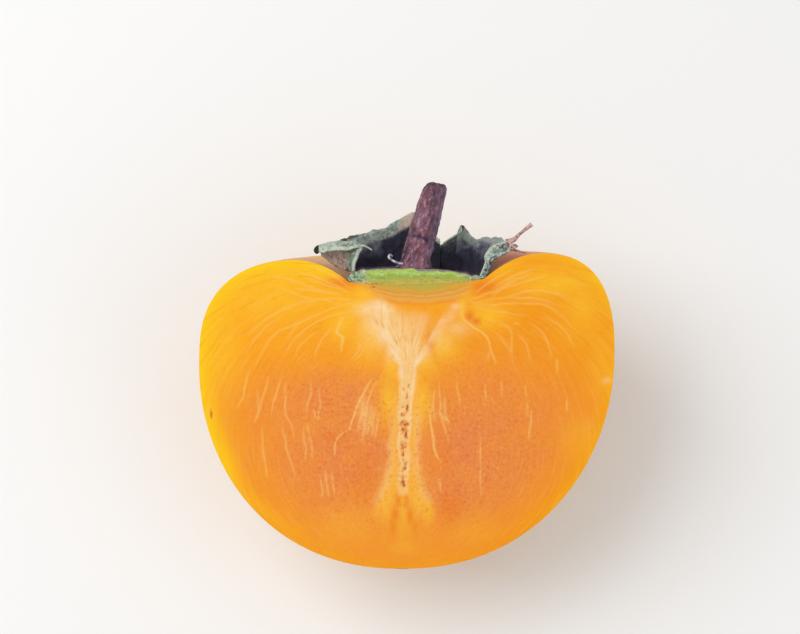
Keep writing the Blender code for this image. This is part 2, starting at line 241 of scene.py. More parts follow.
# Strands of pale fibre in the cut, in millimetres as (x, z). They leave the funnel under the calyx, run
# out into the shoulders and turn down along the sides, and short ones hang beside the core.
SHOULDER_STRANDS = [
    [(-13, 50.9), (-17.5, 52), (-22, 53.6), (-25.5, 53.9)],
    [(-11.5, 51.6), (-15.5, 53.4), (-20.5, 55)],
    [(-10.6, 52), (-13.8, 54.2), (-17.8, 55.9)],
    [(-9.6, 49.6), (-14, 49.9), (-19, 49.3), (-23.5, 48)],
    [(-20.5, 48.6), (-25.5, 46.6), (-29.5, 43)],
    [(-16.5, 44), (-19.5, 41.6), (-20.6, 39)],
    [(-22.8, 47), (-27.2, 43.6), (-30, 39.4)],
    [(-13.8, 44.8), (-16.2, 42), (-17.2, 38.8)],
    [(12, 50.9), (15, 53), (19.6, 55.6)],
    [(11, 49.2), (17, 50), (23.5, 50), (28.5, 48.4)],
    [(24.8, 46.8), (28.4, 44.4), (30.6, 40.8)],
    [(19.8, 43.8), (21.6, 41.6), (22.4, 38.4)],
    [(-18.8, 53.7), (-15.2, 52.6), (-12.5, 51.7), (-10.3, 50.8)],
    [(-24.5, 52.6), (-19, 50.2), (-15.2, 49.7), (-13.4, 49.1)],
    [(-21, 51.9), (-16.5, 51.4), (-12, 50.4)],
    [(-8.5, 49.6), (-12.8, 48.6), (-15.9, 47.3), (-19.7, 45.7), (-24.3, 43.6), (-26.7, 40.2), (-28.4, 36)],
    [(-9.5, 48), (-14.6, 46.6), (-18.5, 44.6), (-21, 42.2), (-22.8, 39)],
    [(-18.5, 46.4), (-20.3, 45.1), (-22.1, 42.4)],
    [(-8.5, 47.1), (-6.4, 47.4)],
    [(-9.4, 42.2), (-9.1, 40.8), (-10.2, 39.1)],
    [(-8.7, 41.6), (-8.5, 40), (-9.9, 38.5)],
    [(10.8, 49.7), (12.8, 50.3), (16.1, 51.6), (20.1, 54.2)],
    [(15.2, 50.4), (18.5, 52.7), (22.4, 54.5)],
    [(13.2, 50.4), (18.6, 52.2), (25.6, 54.4)],
    [(15.5, 51.9), (19, 53.9), (23.5, 55.6)],
    [(17.5, 50.2), (23, 51.4), (28.5, 50.8)],
    [(10.3, 49.8), (13.9, 48.8), (20.3, 49.1), (25, 48.8), (27.6, 47.2), (31.5, 43.4)],
    [(11.3, 48.7), (14.9, 47.8), (18.5, 47.3), (21.8, 46.6)],
    [(19, 45.4), (20.5, 45.4)],
    [(16.1, 45.4), (18.5, 44.6), (19, 41.3), (19.2, 37.6)],
    [(15.6, 44.1), (17.5, 42.1), (18.5, 40.8), (18.9, 38.9)],
    [(15.1, 40.5), (14.6, 38.7)],
    [(22.1, 45.6), (24.5, 43.8), (25.7, 41.1), (26.3, 38.9)],
]
SIDE_STRANDS = [
    [(-29.2, 36.9), (-30, 32.8), (-31.4, 29.6)],
    [(-27.7, 33.4), (-27.5, 30.4), (-27.3, 29.3), (-27.7, 28), (-28.3, 26.9)],
    [(-25.3, 36.2), (-26.2, 33.2), (-26.8, 31.3), (-27, 29.1)],
    [(-23.1, 35.8), (-24, 32.8), (-24.7, 30.8), (-25.2, 28.4)],
    [(-22.6, 35), (-22.5, 31.3), (-22.4, 28.5), (-21.4, 26.5), (-21, 23.9)],
    [(-17.7, 35.2), (-17.7, 32.6), (-18.4, 30.6), (-18.7, 28.2)],
    [(-16.3, 33.4), (-16.2, 29.8), (-16.5, 27.6)],
    [(-17.3, 29.8), (-17, 28)],
    [(-19.2, 27), (-18.8, 22), (-18.8, 20.1)],
    [(-18.6, 27), (-17.8, 23.9), (-17.6, 20.3)],
    [(-26.8, 26.5), (-26.6, 22.9), (-26.1, 19.2), (-26.1, 17)],
    [(-23.1, 26.5), (-22.7, 24.2), (-21.9, 21.1), (-21.2, 19), (-20.8, 16.6)],
    [(-15.2, 18.3), (-14.7, 13.2)],
    [(-16.1, 17.6), (-15.7, 12.9)],
    [(-14.2, 18), (-13.6, 14)],
    [(21.6, 34.2), (21.6, 32)],
    [(21.8, 30.9), (21.9, 28.3)],
    [(22.7, 29.6), (22.5, 26.7), (22.1, 23.7)],
    [(14.2, 34.4), (14.2, 31.5)],
    [(29.1, 31.5), (29.2, 29.2)],
    [(13.2, 26), (13.3, 18.3), (13.6, 13.6)],
    [(9, 34.7), (9.2, 32.4), (9.6, 30)],
    [(27.2, 38.9), (27.4, 36.4)],
    [(17, 34.8), (17.1, 31.9)],
    [(5.4, 17.3), (6.2, 14.2)],
]
BRIGHT_STRANDS = [
    [(9.9, 47.6), (10.3, 45.9), (11.6, 44.9), (13.2, 44.2), (14.4, 43), (15, 41.2), (16.2, 38)],
    [(-11.7, 46.6), (-13.1, 44), (-11.9, 42.7), (-12.2, 40.2)],
    [(-6.6, 35.2), (-9, 30.9), (-10.1, 27.9), (-10.9, 25.6)],
    [(3.9, 30.5), (4.2, 27.1), (4.6, 23.7), (5, 21.9), (5.9, 20)],
]
CORE_STRANDS = [
    [(-11, 25.9), (-13.2, 23.7), (-13.4, 20.9)],
    [(-5.6, 35), (-7.3, 31.4), (-7.6, 28.9), (-8.4, 24.4)],
    [(-8.2, 32.4), (-8.5, 28.4), (-9.4, 25.4)],
    [(-8, 30.4), (-7.8, 26.5), (-8.8, 23.7)],
    [(-6.6, 31), (-6.9, 27.4), (-7.5, 25)],
    [(-6, 29.6), (-6.8, 24.4)],
    [(-5.2, 28.8), (-6.1, 24.3)],
    [(5.7, 34.6), (6, 30.3), (5.9, 28.9), (6.7, 26.8), (7.4, 23.5)],
    [(6, 28.9), (7.6, 27.2)],
    [(4.9, 33.2), (4.7, 30.2), (5.2, 27.4)],
    [(6.9, 32), (6.8, 29.8), (7.4, 27)],
]

# The middle of the core and half its width at each height: the column, its neck and the funnel.
CORE_HEIGHTS = (14.0, 16.8, 22.7, 30.0, 34.0, 37.6, 39.5, 42.3, 46.3, 49.6)
CORE_MIDDLES = (-0.95, -0.95, -0.7, -0.45, -0.05, 0.15, 0.2, 0.2, 0.4, 1.2)
CORE_HALVES = (0.95, 0.9, 1.05, 1.2, 1.4, 1.55, 2.7, 4.6, 6.9, 8.1)
# Half the width of the golden skirt that sheathes the column and spreads below it.
SKIRT_HEIGHTS = (8.0, 10.0, 13.0, 17.0, 22.0, 27.0, 36.0)
SKIRT_HALVES = (6.4, 6.1, 4.6, 3.3, 2.7, 2.4, 2.3)
# Holes in the column, each (x, z, half width, half height).
CORE_HOLES = [
    (-0.1, 29.9, 0.22, 0.75), (-1.1, 28.6, 0.24, 0.25), (-0.8, 27, 0.62, 0.42), (0, 26.9, 0.2, 0.4),
    (-1, 26, 0.22, 0.35), (-0.3, 25, 0.2, 0.55), (-1.2, 23, 0.26, 0.26), (-0.4, 23, 0.2, 0.6),
    (-0.9, 21.4, 0.24, 0.5), (-0.6, 18.5, 0.2, 0.32), (-1, 16.9, 0.22, 0.4), (-0.8, 15.6, 0.24, 0.36),
    (-0.3, 32.2, 0.14, 0.45), (0.3, 34.1, 0.12, 0.4), (-0.6, 33.4, 0.1, 0.35), (-6.35, 52.05, 0.38, 0.1),
    (-36, 28.8, 0.16, 0.8),
]

# How the cut face is coloured, as soft oval spots on it, each (x, z, half width, half height) in
# millimetres, and the strength where it isn't full.
SALMON_SPOTS = [
    (-11.5, 21.5, 13, 13), (12.5, 23, 14, 14), (-13, 31, 12, 6), (8, 15, 8, 7),
]
# Deeper orange patches of the flesh; the faint wide one along the top right, at (20, 57.6), is painted
# shade.
EMBER_AND_SHADE_SPOTS = [
    (-12, 52.9, 3.2, 1.2), (13.6, 52, 3, 1.5), (11.3, 46.7, 0.9, 1, 1.1), (12.4, 45.8, 1, 0.7, 1.1),
    (7.6, 11.4, 2.6, 3.2, 0.7), (4, 41.6, 0.7, 2.2), (6.4, 20.8, 2, 4, 0.4), (-13.3, 24.2, 2, 1, 0.6),
    (20, 57.6, 8, 1.8, 0.35), (-8.3, 17, 3, 4.4, 0.45), (-1.8, 12.6, 0.7, 1.6), (-2.3, 10.2, 0.9, 2),
    (-2.7, 7.8, 0.9, 2, 0.7), (-0.3, 12.4, 0.6, 1.6, 0.9), (0.4, 10, 0.8, 2, 0.9), (1.2, 7.8, 0.9, 2, 0.6),
]
GOLD_SPOTS = [
    (-7, 43.2, 3.6, 5), (6.6, 41.4, 2.9, 3.2), (9.9, 48, 0.8, 2.6), (14.4, 46.8, 4.2, 2.4),
    (-2.9, 38, 1.7, 3.6), (3.4, 38.6, 2.2, 3.4), (-3.6, 31.5, 1.8, 5), (2.6, 31.5, 1.8, 5),
    (-0.9, 12, 3.8, 5.6), (3.8, 10.6, 1.2, 2.4), (-10, 48.8, 3.6, 2), (-25, 51, 12, 7, 0.8),
    (-34, 42, 4, 9, 0.7), (28, 53, 8, 3), (32, 49, 5, 7, 0.7), (35.5, 38, 3, 7, 0.5),
    (-11, 8.5, 5, 3.5, 0.35), (11.5, 7.5, 4.5, 3, 0.25), (-0.9, 4.2, 2.6, 1.8, 0.4),
    (31.5, 24.2, 3.6, 4.2, 0.4), (-8.2, 51, 2.8, 1.2, 0.9), (9.8, 51, 2.2, 1.5, 0.9), (-12, 45.6, 3, 3.4),
]
CREAM_SPOTS = [
    (-4.6, 48.2, 2.2, 1.8), (-6.4, 45, 2.2, 3.6), (-8, 47.8, 2, 1.3), (-5, 43, 1.6, 2.4),
    (-3.2, 40.4, 1.3, 2), (9, 44.5, 2.2, 1.4, 0.8), (3.4, 40.4, 1, 1.8), (6, 42.9, 2, 2.2, 0.6),
    (7.8, 46.2, 1.4, 2, 0.5), (8.6, 48.5, 0.9, 0.7), (-8, 28.6, 1.3, 3, 0.5), (36.4, 34.9, 0.9, 0.6, 0.6),
]
STRAND_REACH = 1.0  # how far from its middle line a strand's layer fades to nothing
FUNNEL_FROM = 38.5  # where the column ends and the funnel begins


def cut_layers(x, z, depth):
    """The cut face's layers, each one number for each vertex, by where it is on the face and how deep it
    lies under the skin."""
    place = np.stack([x, 0 * x, z], axis=1)
    bent = np.stack([x, z], axis=1)
    bent = bent + 0.16 * np.stack([soft_noise(place, 1.6, seed) for seed in (3, 4)], axis=1)
    strand, off_strand = np.zeros(len(x)), np.ones(len(x))
    for strength, strands in (
        (0.66, SHOULDER_STRANDS),
        (0.72, SIDE_STRANDS),
        (0.78, CORE_STRANDS),
        (0.95, BRIGHT_STRANDS),
    ):
        for line in strands:
            gap, off, along = gap_to(bent, smooth_line(line))
            near = strength * (1 - gap / STRAND_REACH) * (1 - abs(2 * along - 1) ** 3 * 0.35)
            off_strand = np.where(near > strand, off, off_strand)
            strand = np.maximum(strand, near)

    # The core: across is 0 on its middle line and 1 on its edges. A wedge of flesh parts its right wing.
    middle = np.interp(z, CORE_HEIGHTS, CORE_MIDDLES)
    half = np.interp(z, CORE_HEIGHTS, CORE_HALVES)
    wander = 0.22 * soft_noise(place, (2.2, 1, 2.6), 5) + 0.12 * soft_noise(place, (0.9, 1, 1.2), 6)
    across = (x + wander - middle) / half
    in_funnel = smooth_step((z - FUNNEL_FROM) / 4)
    wedge = smooth_step((across - 0.3) / 0.3) * smooth_step((0.86 - across) / 0.15) * in_funnel
    top = 50.8 - 2.2 * smooth_step((x + 3.8) / 3.5) * smooth_step((8.6 - x) / 1.8) + 2 * wander
    ends = smooth_step((z - 13.6 - 3 * wander) / 1.2) * smooth_step((top - z) / 3.0)
    fade = np.interp(z, (15, 24, 31, 38), (0.72, 0.8, 0.95, 1.0))
    fade = ends * np.clip(fade + 0.22 * soft_noise(place, (0.9, 1, 2.4), 7), 0, 1)
    in_core = smooth_step((1.4 - abs(across)) / 0.75) * fade
    in_core *= 1 - 0.45 * np.exp(-(((x - 2.2) / 3.2) ** 2)) * smooth_step((z - 41) / 5)
    in_core *= 1 - 0.4 * smooth_step((across - 0.6) / 0.3) * smooth_step((z - FUNNEL_FROM) / 3)
    bright = np.exp(-(((abs(across + 0.05) - 0.80) / 0.26) ** 2)) * fade
    bright *= np.interp(z, (20, 34, 39), (0.3, 0.55, 1.0))
    bright *= 1 - 0.6 * smooth_step(across) * smooth_step((z - 38) / 3)
    bright *= np.clip(0.85 + 0.7 * soft_noise(place, (1.3, 1, 1.8), 9), 0, 1)

    # The golden skirt round the column, its paler hem, and the holes.
    off_middle = abs(x - middle)
    skirt = np.interp(z, SKIRT_HEIGHTS, SKIRT_HALVES) + 2 * wander
    halo = smooth_step((skirt + 0.5 - off_middle) / 1.5) * smooth_step((42 - z) / 4)
    halo *= smooth_step((z - 8.2 - 4 * wander) / 4)
    hem = np.exp(-(((off_middle - skirt + 0.3) / 0.75) ** 2)) * smooth_step((z - 11) / 3)
    hem *= 0.34 * smooth_step((34 - z) / 9)
    chain = smooth_step((soft_noise(place, (0.45, 1, 0.7), 8) + 0.12) / 0.45)
    chain *= np.exp(-((off_middle / 0.62) ** 4))
    hole = 0.8 * chain * smooth_step((31.5 - z) / 1.5) * smooth_step((z - 14.6) / 1.2)
    for at_x, at_z, wide, high in CORE_HOLES:
        reach = np.hypot((bent[:, 0] - at_x) / wide, (bent[:, 1] - at_z) / high)
        hole = np.maximum(hole, smooth_step(1.5 - reach))

    # The bed of arcs under the disc, the flesh along the skin, and that along the bottom.
    bed = smooth_step((z - 48.0) / 1.6) * smooth_step((7.6 + 1.4 * (z - 49.0) - abs(x - 2.4)) / 3.6)
    # Painted light: the yellow band along the skin widens and strengthens towards the upper left and along
    # the top.
    painted_light = smooth_step((-x - 14 + 1.2 * (z - 27)) / 22) + 0.35 * smooth_step((z - 46) / 8)
    painted_light *= smooth_step((abs(x - 1.8) - 12) / 5) + (z < 40)
    rim = np.exp(-((depth / (0.8 + 1.3 * np.clip(painted_light, 0, 1))) ** 1.3))
    base = 0.5 * np.exp(-((depth / 1.7) ** 2)) * smooth_step((15 - z) / 10)
    from_skin = depth + 1.2 * smooth_step((9 - z) / 6)
    return {
        "lower": smooth_step((43 - z) / 15) * smooth_step((from_skin - 0.6) / 3.4),
        "salmon": spots_at(x, z, SALMON_SPOTS) * smooth_step((depth - 2.5) / 6),
        "ember": np.maximum(spots_at(x, z, EMBER_AND_SHADE_SPOTS), base),
        "gold": spots_at(x, z, GOLD_SPOTS),
        "cream": np.maximum.reduce([in_core * (1 - 0.85 * wedge), 0.7 * spots_at(x, z, CREAM_SPOTS), hem]),
        "bright": bright * (1 - wedge),
        "halo": halo,
        "strand": np.clip(strand, 0, 1),
        "off_strand": off_strand,
        "hole": hole,
        "bed": bed * smooth_step((13 - x) / 3),
        "bed_height": np.clip((z - 48.3 - 0.02 * (x - 2.4) ** 2) / 4.0, 0, 1.1),
        "rim": np.clip(painted_light + 0.25, 0, 1) * rim,
        "in_core": in_core,
        "core_flow": np.stack([across * 4.0, 0 * z, z], axis=1),
    }


def flow_over(x, z):
    """How fibre runs through the flesh, as (across, along) in rough millimetres: the arcs of circles
    through a point in the funnel and one at the blossom end."""
    place = x + 1j * z
    turn = np.log((place - (0.8 + 47.5j)) / (place - (-0.9 + 1.0j)))
    return np.stack([26 * turn.imag, 0 * x, 12 * turn.real], axis=1)


def fruit_piece():
    """The fruit's mesh, its layers and the relief of its cut face: raised strands, sunken holes in the
    core. The skin swells faintly in four lobes, and the columns crowd towards the skin, where the colours
    change most."""
    share = np.linspace(0, 1, FRUIT_COLUMNS + 1)
    radii = WIDEST_RADIUS * share * (0.86 + share * (1.28 - 1.14 * share))
    radii[-1] = WIDEST_RADIUS
    top, bottom = crown(radii), belly(radii)
    turned, quads, outer_quads, cut, outer = cut_half(radii, top, bottom, CUT_ROWS, SKIN_TURNS)
    points = grown(turned)

    ring = np.intersect1d(cut, outer)
    turn = np.arctan2(points[ring, 2] - MIDDLE_AT, points[ring, 0])
    outline = points[ring[np.argsort(turn)]][:, [0, 2]]
    outline = np.concatenate([outline, outline[:1]])[::3]
    x, z = points[cut][:, 0], points[cut][:, 2]
    parts = np.array_split(points[cut][:, [0, 2]], 12)
    depth = np.concatenate([gap_to(part, outline)[0] for part in parts])
    depth[np.isin(cut, ring)] = 0.0
    layers = cut_layers(x, z, depth)

    place = points[cut]
    relief = 0.05 * soft_noise(place, 7, 11) + 0.02 * soft_noise(place, 1.1, 12)
    relief += 0.05 * smooth_step((layers["strand"] - 0.5) / 0.4) - 0.25 * layers["hole"]
    relief += 0.05 * layers["in_core"] * soft_noise(layers["core_flow"], (0.5, 1, 5), 13)
    points[cut, 1] = -relief * smooth_step(depth / 0.8)

    skin = turned[outer]
    radius = np.hypot(skin[:, 0], skin[:, 1])
    angle = np.arctan2(skin[:, 1], skin[:, 0])
    out = points[outer] - [0, 0, MIDDLE_AT]
    lobes = -LOBE_DEPTH * (1 - np.cos(4 * angle)) * (radius / WIDEST_RADIUS) ** 2
    uneven = 0.16 * soft_noise(points[outer], 13, 21) + 0.05 * soft_noise(points[outer], 4, 22)
    uneven *= smooth_step(angle / 0.2) * smooth_step((np.pi - angle) / 0.2)
    points[outer] += out / np.linalg.norm(out, axis=1, keepdims=True) * (lobes + uneven)[:, None]

    layers["depth"] = depth
    layers["flow"] = flow_over(x, z)
    attributes = {}
    for name, values in layers.items():
        attributes[name] = np.zeros((len(points), *values.shape[1:]))
        attributes[name][cut] = values
    upper = skin[:, 2] > WIDEST_AT
    attributes["hollow"] = np.zeros(len(points))
    attributes["hollow"][outer] = upper * smooth_step((26.0 - radius) / 9.0)
    attributes["blossom"] = np.full(len(points), 99.0)
    attributes["blossom"][outer] = np.where(upper, 99.0, radius)

    fruit = make_piece("persimmon_half", points, quads, attributes, outer_quads)
    on_ring = np.zeros(len(points), bool)
    on_ring[ring] = True
    ends = np.empty(2 * len(fruit.data.edges), np.int32)
    fruit.data.edges.foreach_get("vertices", ends)
    sharp = fruit.data.attributes.new("sharp_edge", "BOOLEAN", "EDGE")
    sharp.data.foreach_set("value", on_ring[ends.reshape(-1, 2)].all(axis=1))
    return fruit


def linear(code):
    """A colour as it looks, in hex, turned to the linear light that the shader works in."""
    levels = [int(code[i : i + 2], 16) / 255 for i in (0, 2, 4)]
    return (*(v / 12.92 if v <= 0.04045 else ((v + 0.055) / 1.055) ** 2.4 for v in levels), 1.0)


def set_node(tree, node, values):
    """Sets a node's properties and sockets. A value that is another node's output is linked to the
    socket, a hex code gives it that colour, and stops are a ramp's, each (place, hex code)."""
    for name, value in values.items():
        socket = node.inputs[name] if isinstance(name, int) or name in node.inputs else None
        if name == "stops":
            elements = node.color_ramp.elements
            while len(elements) < len(value):
                elements.new(1.0)
            for element, (at, code) in zip(elements, value):
                element.position, element.color = at, linear(code)
        elif isinstance(value, bpy.types.NodeSocket):
            tree.links.new(value, socket)
        elif socket is not None:
            socket.default_value = linear(value) if isinstance(value, str) else value
        else:
            setattr(node, name, value)


def add(tree, kind, values, output=0):
    """Adds one shader node with its settings and links, and gives one of its outputs."""
    node = tree.nodes.new("ShaderNode" + kind)
    set_node(tree, node, values)
    return node.outputs[output]


def painted(tree, colour, code, pattern, low, high, most=1.0, where=None, least=0.0):
    """A colour with another laid over it. The second one's share grows from least, where the pattern is
    at low, to most, where it is at high, and is multiplied by the layer where."""
    share = {"From Min": low, "From Max": high, "To Min": least, "To Max": most, "Value": pattern}
    share = add(tree, "MapRange", share)
    if where is not None:
        share = add(tree, "Math", {"operation": "MULTIPLY", 0: share, 1: where})
    return add(tree, "MixRGB", {"Fac": share, "Color1": colour, "Color2": code})


def new_material(name):
    """A material with only its Principled shader and output: itself, its node tree and the shader."""
    material = bpy.data.materials.new(name)
    material.use_nodes = True
    return material, material.node_tree, material.node_tree.nodes["Principled BSDF"]


def per(size):
    """The scale at which a pattern on coordinates in metres repeats about every size millimetres."""
    return 1 / (size * MM)


def moist_flesh():
    """Cut persimmon flesh: moist and fibrous, yellow under the skin, deeper orange and salmon further in,
    with a cream core. Painted light widens the yellow towards the upper left, and painted shade deepens the
    orange towards the right. The eye sees soft clouds of colour, fine streaks that run with the fibre, and
    pale strands."""
    material, tree, shader = new_material("moist_flesh")
    place = add(tree, "TexCoord", {}, "Object")
    names = ("depth", "lower", "salmon", "gold", "rim", "halo", "ember", "cream", "bright", "in_core")
    names += ("bed", "bed_height", "strand", "off_strand", "hole")
    layer = {name: add(tree, "Attribute", {"attribute_name": name}, "Fac") for name in names}
    flow = add(tree, "Attribute", {"attribute_name": "flow"}, "Vector")
    core_flow = add(tree, "Attribute", {"attribute_name": "core_flow"}, "Vector")
    cloud = add(tree, "TexNoise", {"Scale": per(5), "Detail": 4, "Roughness": 0.6, "Vector": place})
    grain = add(tree, "TexNoise", {"Scale": per(0.6), "Detail": 2, "Roughness": 0.6, "Vector": place})
    # The flows are in rough millimetres, so the streaks are about 0.45 mm apart. Real fibres are finer,
    # too fine to show.
    along = add(tree, "Mapping", {"Scale": (2.2, 1, 0.3), "Vector": flow})
    streak = add(tree, "TexNoise", {"Scale": 1, "Detail": 3, "Roughness": 0.6, "Vector": along})
    along = add(tree, "Mapping", {"Scale": (1.5, 1, 0.13), "Vector": core_flow})
    core_line = add(tree, "TexNoise", {"Scale": 2.6, "Detail": 4, "Roughness": 0.65, "Vector": along})

    under_skin = add(tree, "MapRange", {"From Max": 12, "Value": layer["depth"]})
    stops = [(0, "F4A51C"), (0.03, "FCAE18"), (0.2, "FEAD10"), (0.5, "FDA80E"), (1, "FCA212")]
    colour = add(tree, "ValToRGB", {"stops": stops, 0: under_skin})
    # Painted shade: the flesh turns deeper orange towards the right, away from the key lamp.
    side = add(tree, "SeparateXYZ", {0: place}, "X")
    colour = painted(tree, colour, "F59606", side, -12 * MM, 36 * MM, 0.9)
    for name, code, strength, clouded in (
        ("lower", "F4912C", 0.85, 0.3),
        ("salmon", "EA8648", 1.15, 0.5),
        ("gold", "FFC32A", 0.9, 0.35),
        ("rim", "FFCF08", 1.0, 0.15),
        ("halo", "FDB63A", 0.95, 0.3),
        ("ember", "EE7814", 0.9, 0.25),
        ("cream", "FDD592", 1.0, 0.3),
        ("bright", "FFE8C2", 0.95, 0.5),
    ):
        # strength is a full layer's share of the colour, clouded is what the clouds take off it.
        uneven = {"From Min": 0.3, "From Max": 0.7, "To Min": 1 - clouded, "Value": cloud}
        uneven = add(tree, "MapRange", uneven)
        share = add(tree, "Math", {"operation": "MULTIPLY", 0: layer[name], 1: strength})
        share = add(tree, "Math", {"operation": "MULTIPLY", "use_clamp": True, 0: share, 1: uneven})
        colour = add(tree, "MixRGB", {"Fac": share, "Color1": colour, "Color2": code})

    arc = add(tree, "Math", {"operation": "MULTIPLY_ADD", 0: cloud, 1: 0.5, 2: -0.25})
    arc = add(tree, "Math", {"operation": "ADD", 0: arc, 1: layer["bed_height"]})
    stops = [(0, "FBA82E"), (0.12, "F2911F"), (0.24, "F0A43E"), (0.36, "EDAB4C"), (0.44, "E2993A")]
    stops += [(0.52, "EBAD4C"), (0.62, "D99C38"), (0.72, "DCA63E"), (0.86, "C9A83F"), (1, "B9B04C")]
    bed = add(tree, "ValToRGB", {"stops": stops, 0: arc})
    colour = add(tree, "MixRGB", {"Fac": layer["bed"], "Color1": colour, "Color2": bed})
    colour = painted(tree, colour, "E8983F", core_line, 0.52, 0.66, 0.8, layer["in_core"])
    colour = painted(tree, colour, "FCC066", streak, 0.54, 0.74, 0.28)
    colour = painted(tree, colour, "E9801F", streak, 0.46, 0.28, 0.35)
    off = add(tree, "Math", {"operation": "ABSOLUTE", 0: layer["off_strand"]})
    off = add(tree, "Math", {"operation": "MULTIPLY_ADD", 0: grain, 1: 0.28, 2: off})
    line = add(tree, "MapRange", {"From Min": 0.52, "From Max": 0.16, "Value": off})
    colour = painted(tree, colour, "FECB70", layer["strand"], 0.36, 0.9, 0.85, line)
    pulp = add(tree, "MapRange", {"To Min": 0.12, "Value": layer["salmon"]})
    colour = painted(tree, colour, "DD6A30", grain, 0.47, 0.27, 0.75, pulp)
    colour = painted(tree, colour, "FBBE70", grain, 0.57, 0.77, 0.4, pulp)
    stops = [(0.42, "A8481F"), (0.5, "DE7A2C"), (0.6, "F0A048")]
    inside = add(tree, "ValToRGB", {"stops": stops, 0: grain})
    colour = add(tree, "MixRGB", {"Fac": layer["hole"], "Color1": colour, "Color2": inside})

    rough = add(tree, "MapRange", {"To Min": 0.36, "To Max": 0.58, "Value": grain})
    height = add(tree, "Math", {"operation": "ADD", 0: grain, 1: streak})
    bump = add(tree, "Bump", {"Strength": 0.5, "Distance": 0.06 * MM, "Height": height})
    finish = {"Base Color": colour, "Roughness": rough, "Specular IOR Level": 0.16, "Normal": bump}
    set_node(tree, shader, finish)
    return material


def waxy_skin():
    """Persimmon skin: thin, taut and waxy over orange flesh. The eye sees golden orange in soft uneven
    patches, a dull pinkish bloom round the hollow, with painted reddish shade on the hollow's right, pale
    pinprick pores and a broad satin shine."""
    material, tree, shader = new_material("waxy_skin")
    place = add(tree, "TexCoord", {}, "Object")
    hollow = add(tree, "Attribute", {"attribute_name": "hollow"}, "Fac")
    blossom = add(tree, "Attribute", {"attribute_name": "blossom"}, "Fac")
    patch = add(tree, "TexNoise", {"Scale": per(16), "Detail": 3, "Roughness": 0.55, "Vector": place})
    mottle = add(tree, "TexNoise", {"Scale": per(3), "Detail": 5, "Roughness": 0.65, "Vector": place})
    fine = add(tree, "TexNoise", {"Scale": per(0.5), "Detail": 2, "Vector": place})
    stops = [(0.3, "DB8D12"), (0.45, "E49C16"), (0.58, "E9A922"), (0.72, "EDB840")]
    colour = add(tree, "ValToRGB", {"stops": stops, 0: patch})
    colour = painted(tree, colour, "D98A1C", mottle, 0.42, 0.66, 0.35)
    # Real pores are finer and closer. These are 1.5 mm apart, to show.
    pores = add(tree, "TexVoronoi", {"Scale": per(1.5), "Randomness": 1, "Vector": place})
    pores = add(tree, "MapRange", {"From Min": 0.22, "From Max": 0.08, "To Max": 0.3, "Value": pores})
    colour = add(tree, "MixRGB", {"Fac": pores, "Color1": colour, "Color2": "F3CE7E"})
    colour = painted(tree, colour, "EABB9C", mottle, 0.35, 0.65, 0.9, hollow, 0.45)
    side = add(tree, "SeparateXYZ", {0: place}, "X")
    # Painted shade: the hollow turns redder towards its right.
    colour = painted(tree, colour, "C2572A", side, 4 * MM, 14 * MM, 0.8, hollow)
    scar = add(tree, "Math", {"operation": "MULTIPLY_ADD", 0: mottle, 1: 1.6, 2: blossom})
    colour = painted(tree, colour, "3B2415", scar, 2.6, 1.8, 0.9)
    rough = {"From Min": 0.3, "From Max": 0.7, "To Min": 0.3, "To Max": 0.46, "Value": mottle}
    rough = add(tree, "MapRange", rough)
    dull = add(tree, "MixRGB", {"Fac": hollow, "Color1": rough, "Color2": (0.9, 0.9, 0.9, 1)})
    height = add(tree, "Math", {"operation": "MULTIPLY_ADD", 0: pores, 1: -0.5, 2: fine})
    bump = add(tree, "Bump", {"Strength": 0.25, "Distance": 0.05 * MM, "Height": height})
    finish = {"Base Color": colour, "Roughness": dull, "IOR": 1.4, "Specular IOR Level": 0.4}
    finish |= {"Coat Weight": 0.15, "Coat Roughness": 0.22, "Normal": bump}
    set_node(tree, shader, finish)
    return material


fruit = fruit_piece()
fruit.data.materials.append(moist_flesh())
fruit.data.materials.append(waxy_skin())
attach(fruit, "root")
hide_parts("fruit_half")

# --------------------------------------------------------------------------------------------------------
# THE CALYX DISC
# The fleshy green pad in the hollow that carries the sepals and the stem, cut with the fruit: lime and
# olive inside, grey and crumbly at its ends, with a dry top painted dark partly as shade. It grew there, so
# it is one with the flesh under it, and its underside runs a little into it.

DISC_RADIUS = 12.0
DISC_RIM_RADIUS, DISC_RIM_AT = 12.5, 53.8
DISC_TOP_AT, DISC_CROWN = 55.5, 0.8
DISC_FALL = 0.075  # how steeply its top falls to the right
DISC_SUNK = 0.12  # how far its underside runs into the flesh
DISC_PROUD = 0.03  # how far its cut stands before the fruit's
DISC_COLUMNS, DISC_ROWS, DISC_TURNS = 70, 40, 60


def disc_top(radius):
    """Height of the disc's top before it settles: a parabola, highest in the middle."""
    return DISC_TOP_AT - DISC_CROWN * (radius / DISC_RADIUS) ** 2


def settled(points):
    """Turned points as the calyx sits in the grown hollow: all that lies above the seat falls to the
    right."""
    low, high = SEAT_AT + 0.3, DISC_TOP_AT - DISC_CROWN
    share = smooth_step((points[:, 2] - low) / (high - low))
    moved = grown(points)
    moved[:, 2] -= DISC_FALL * points[:, 0] * share
    return moved


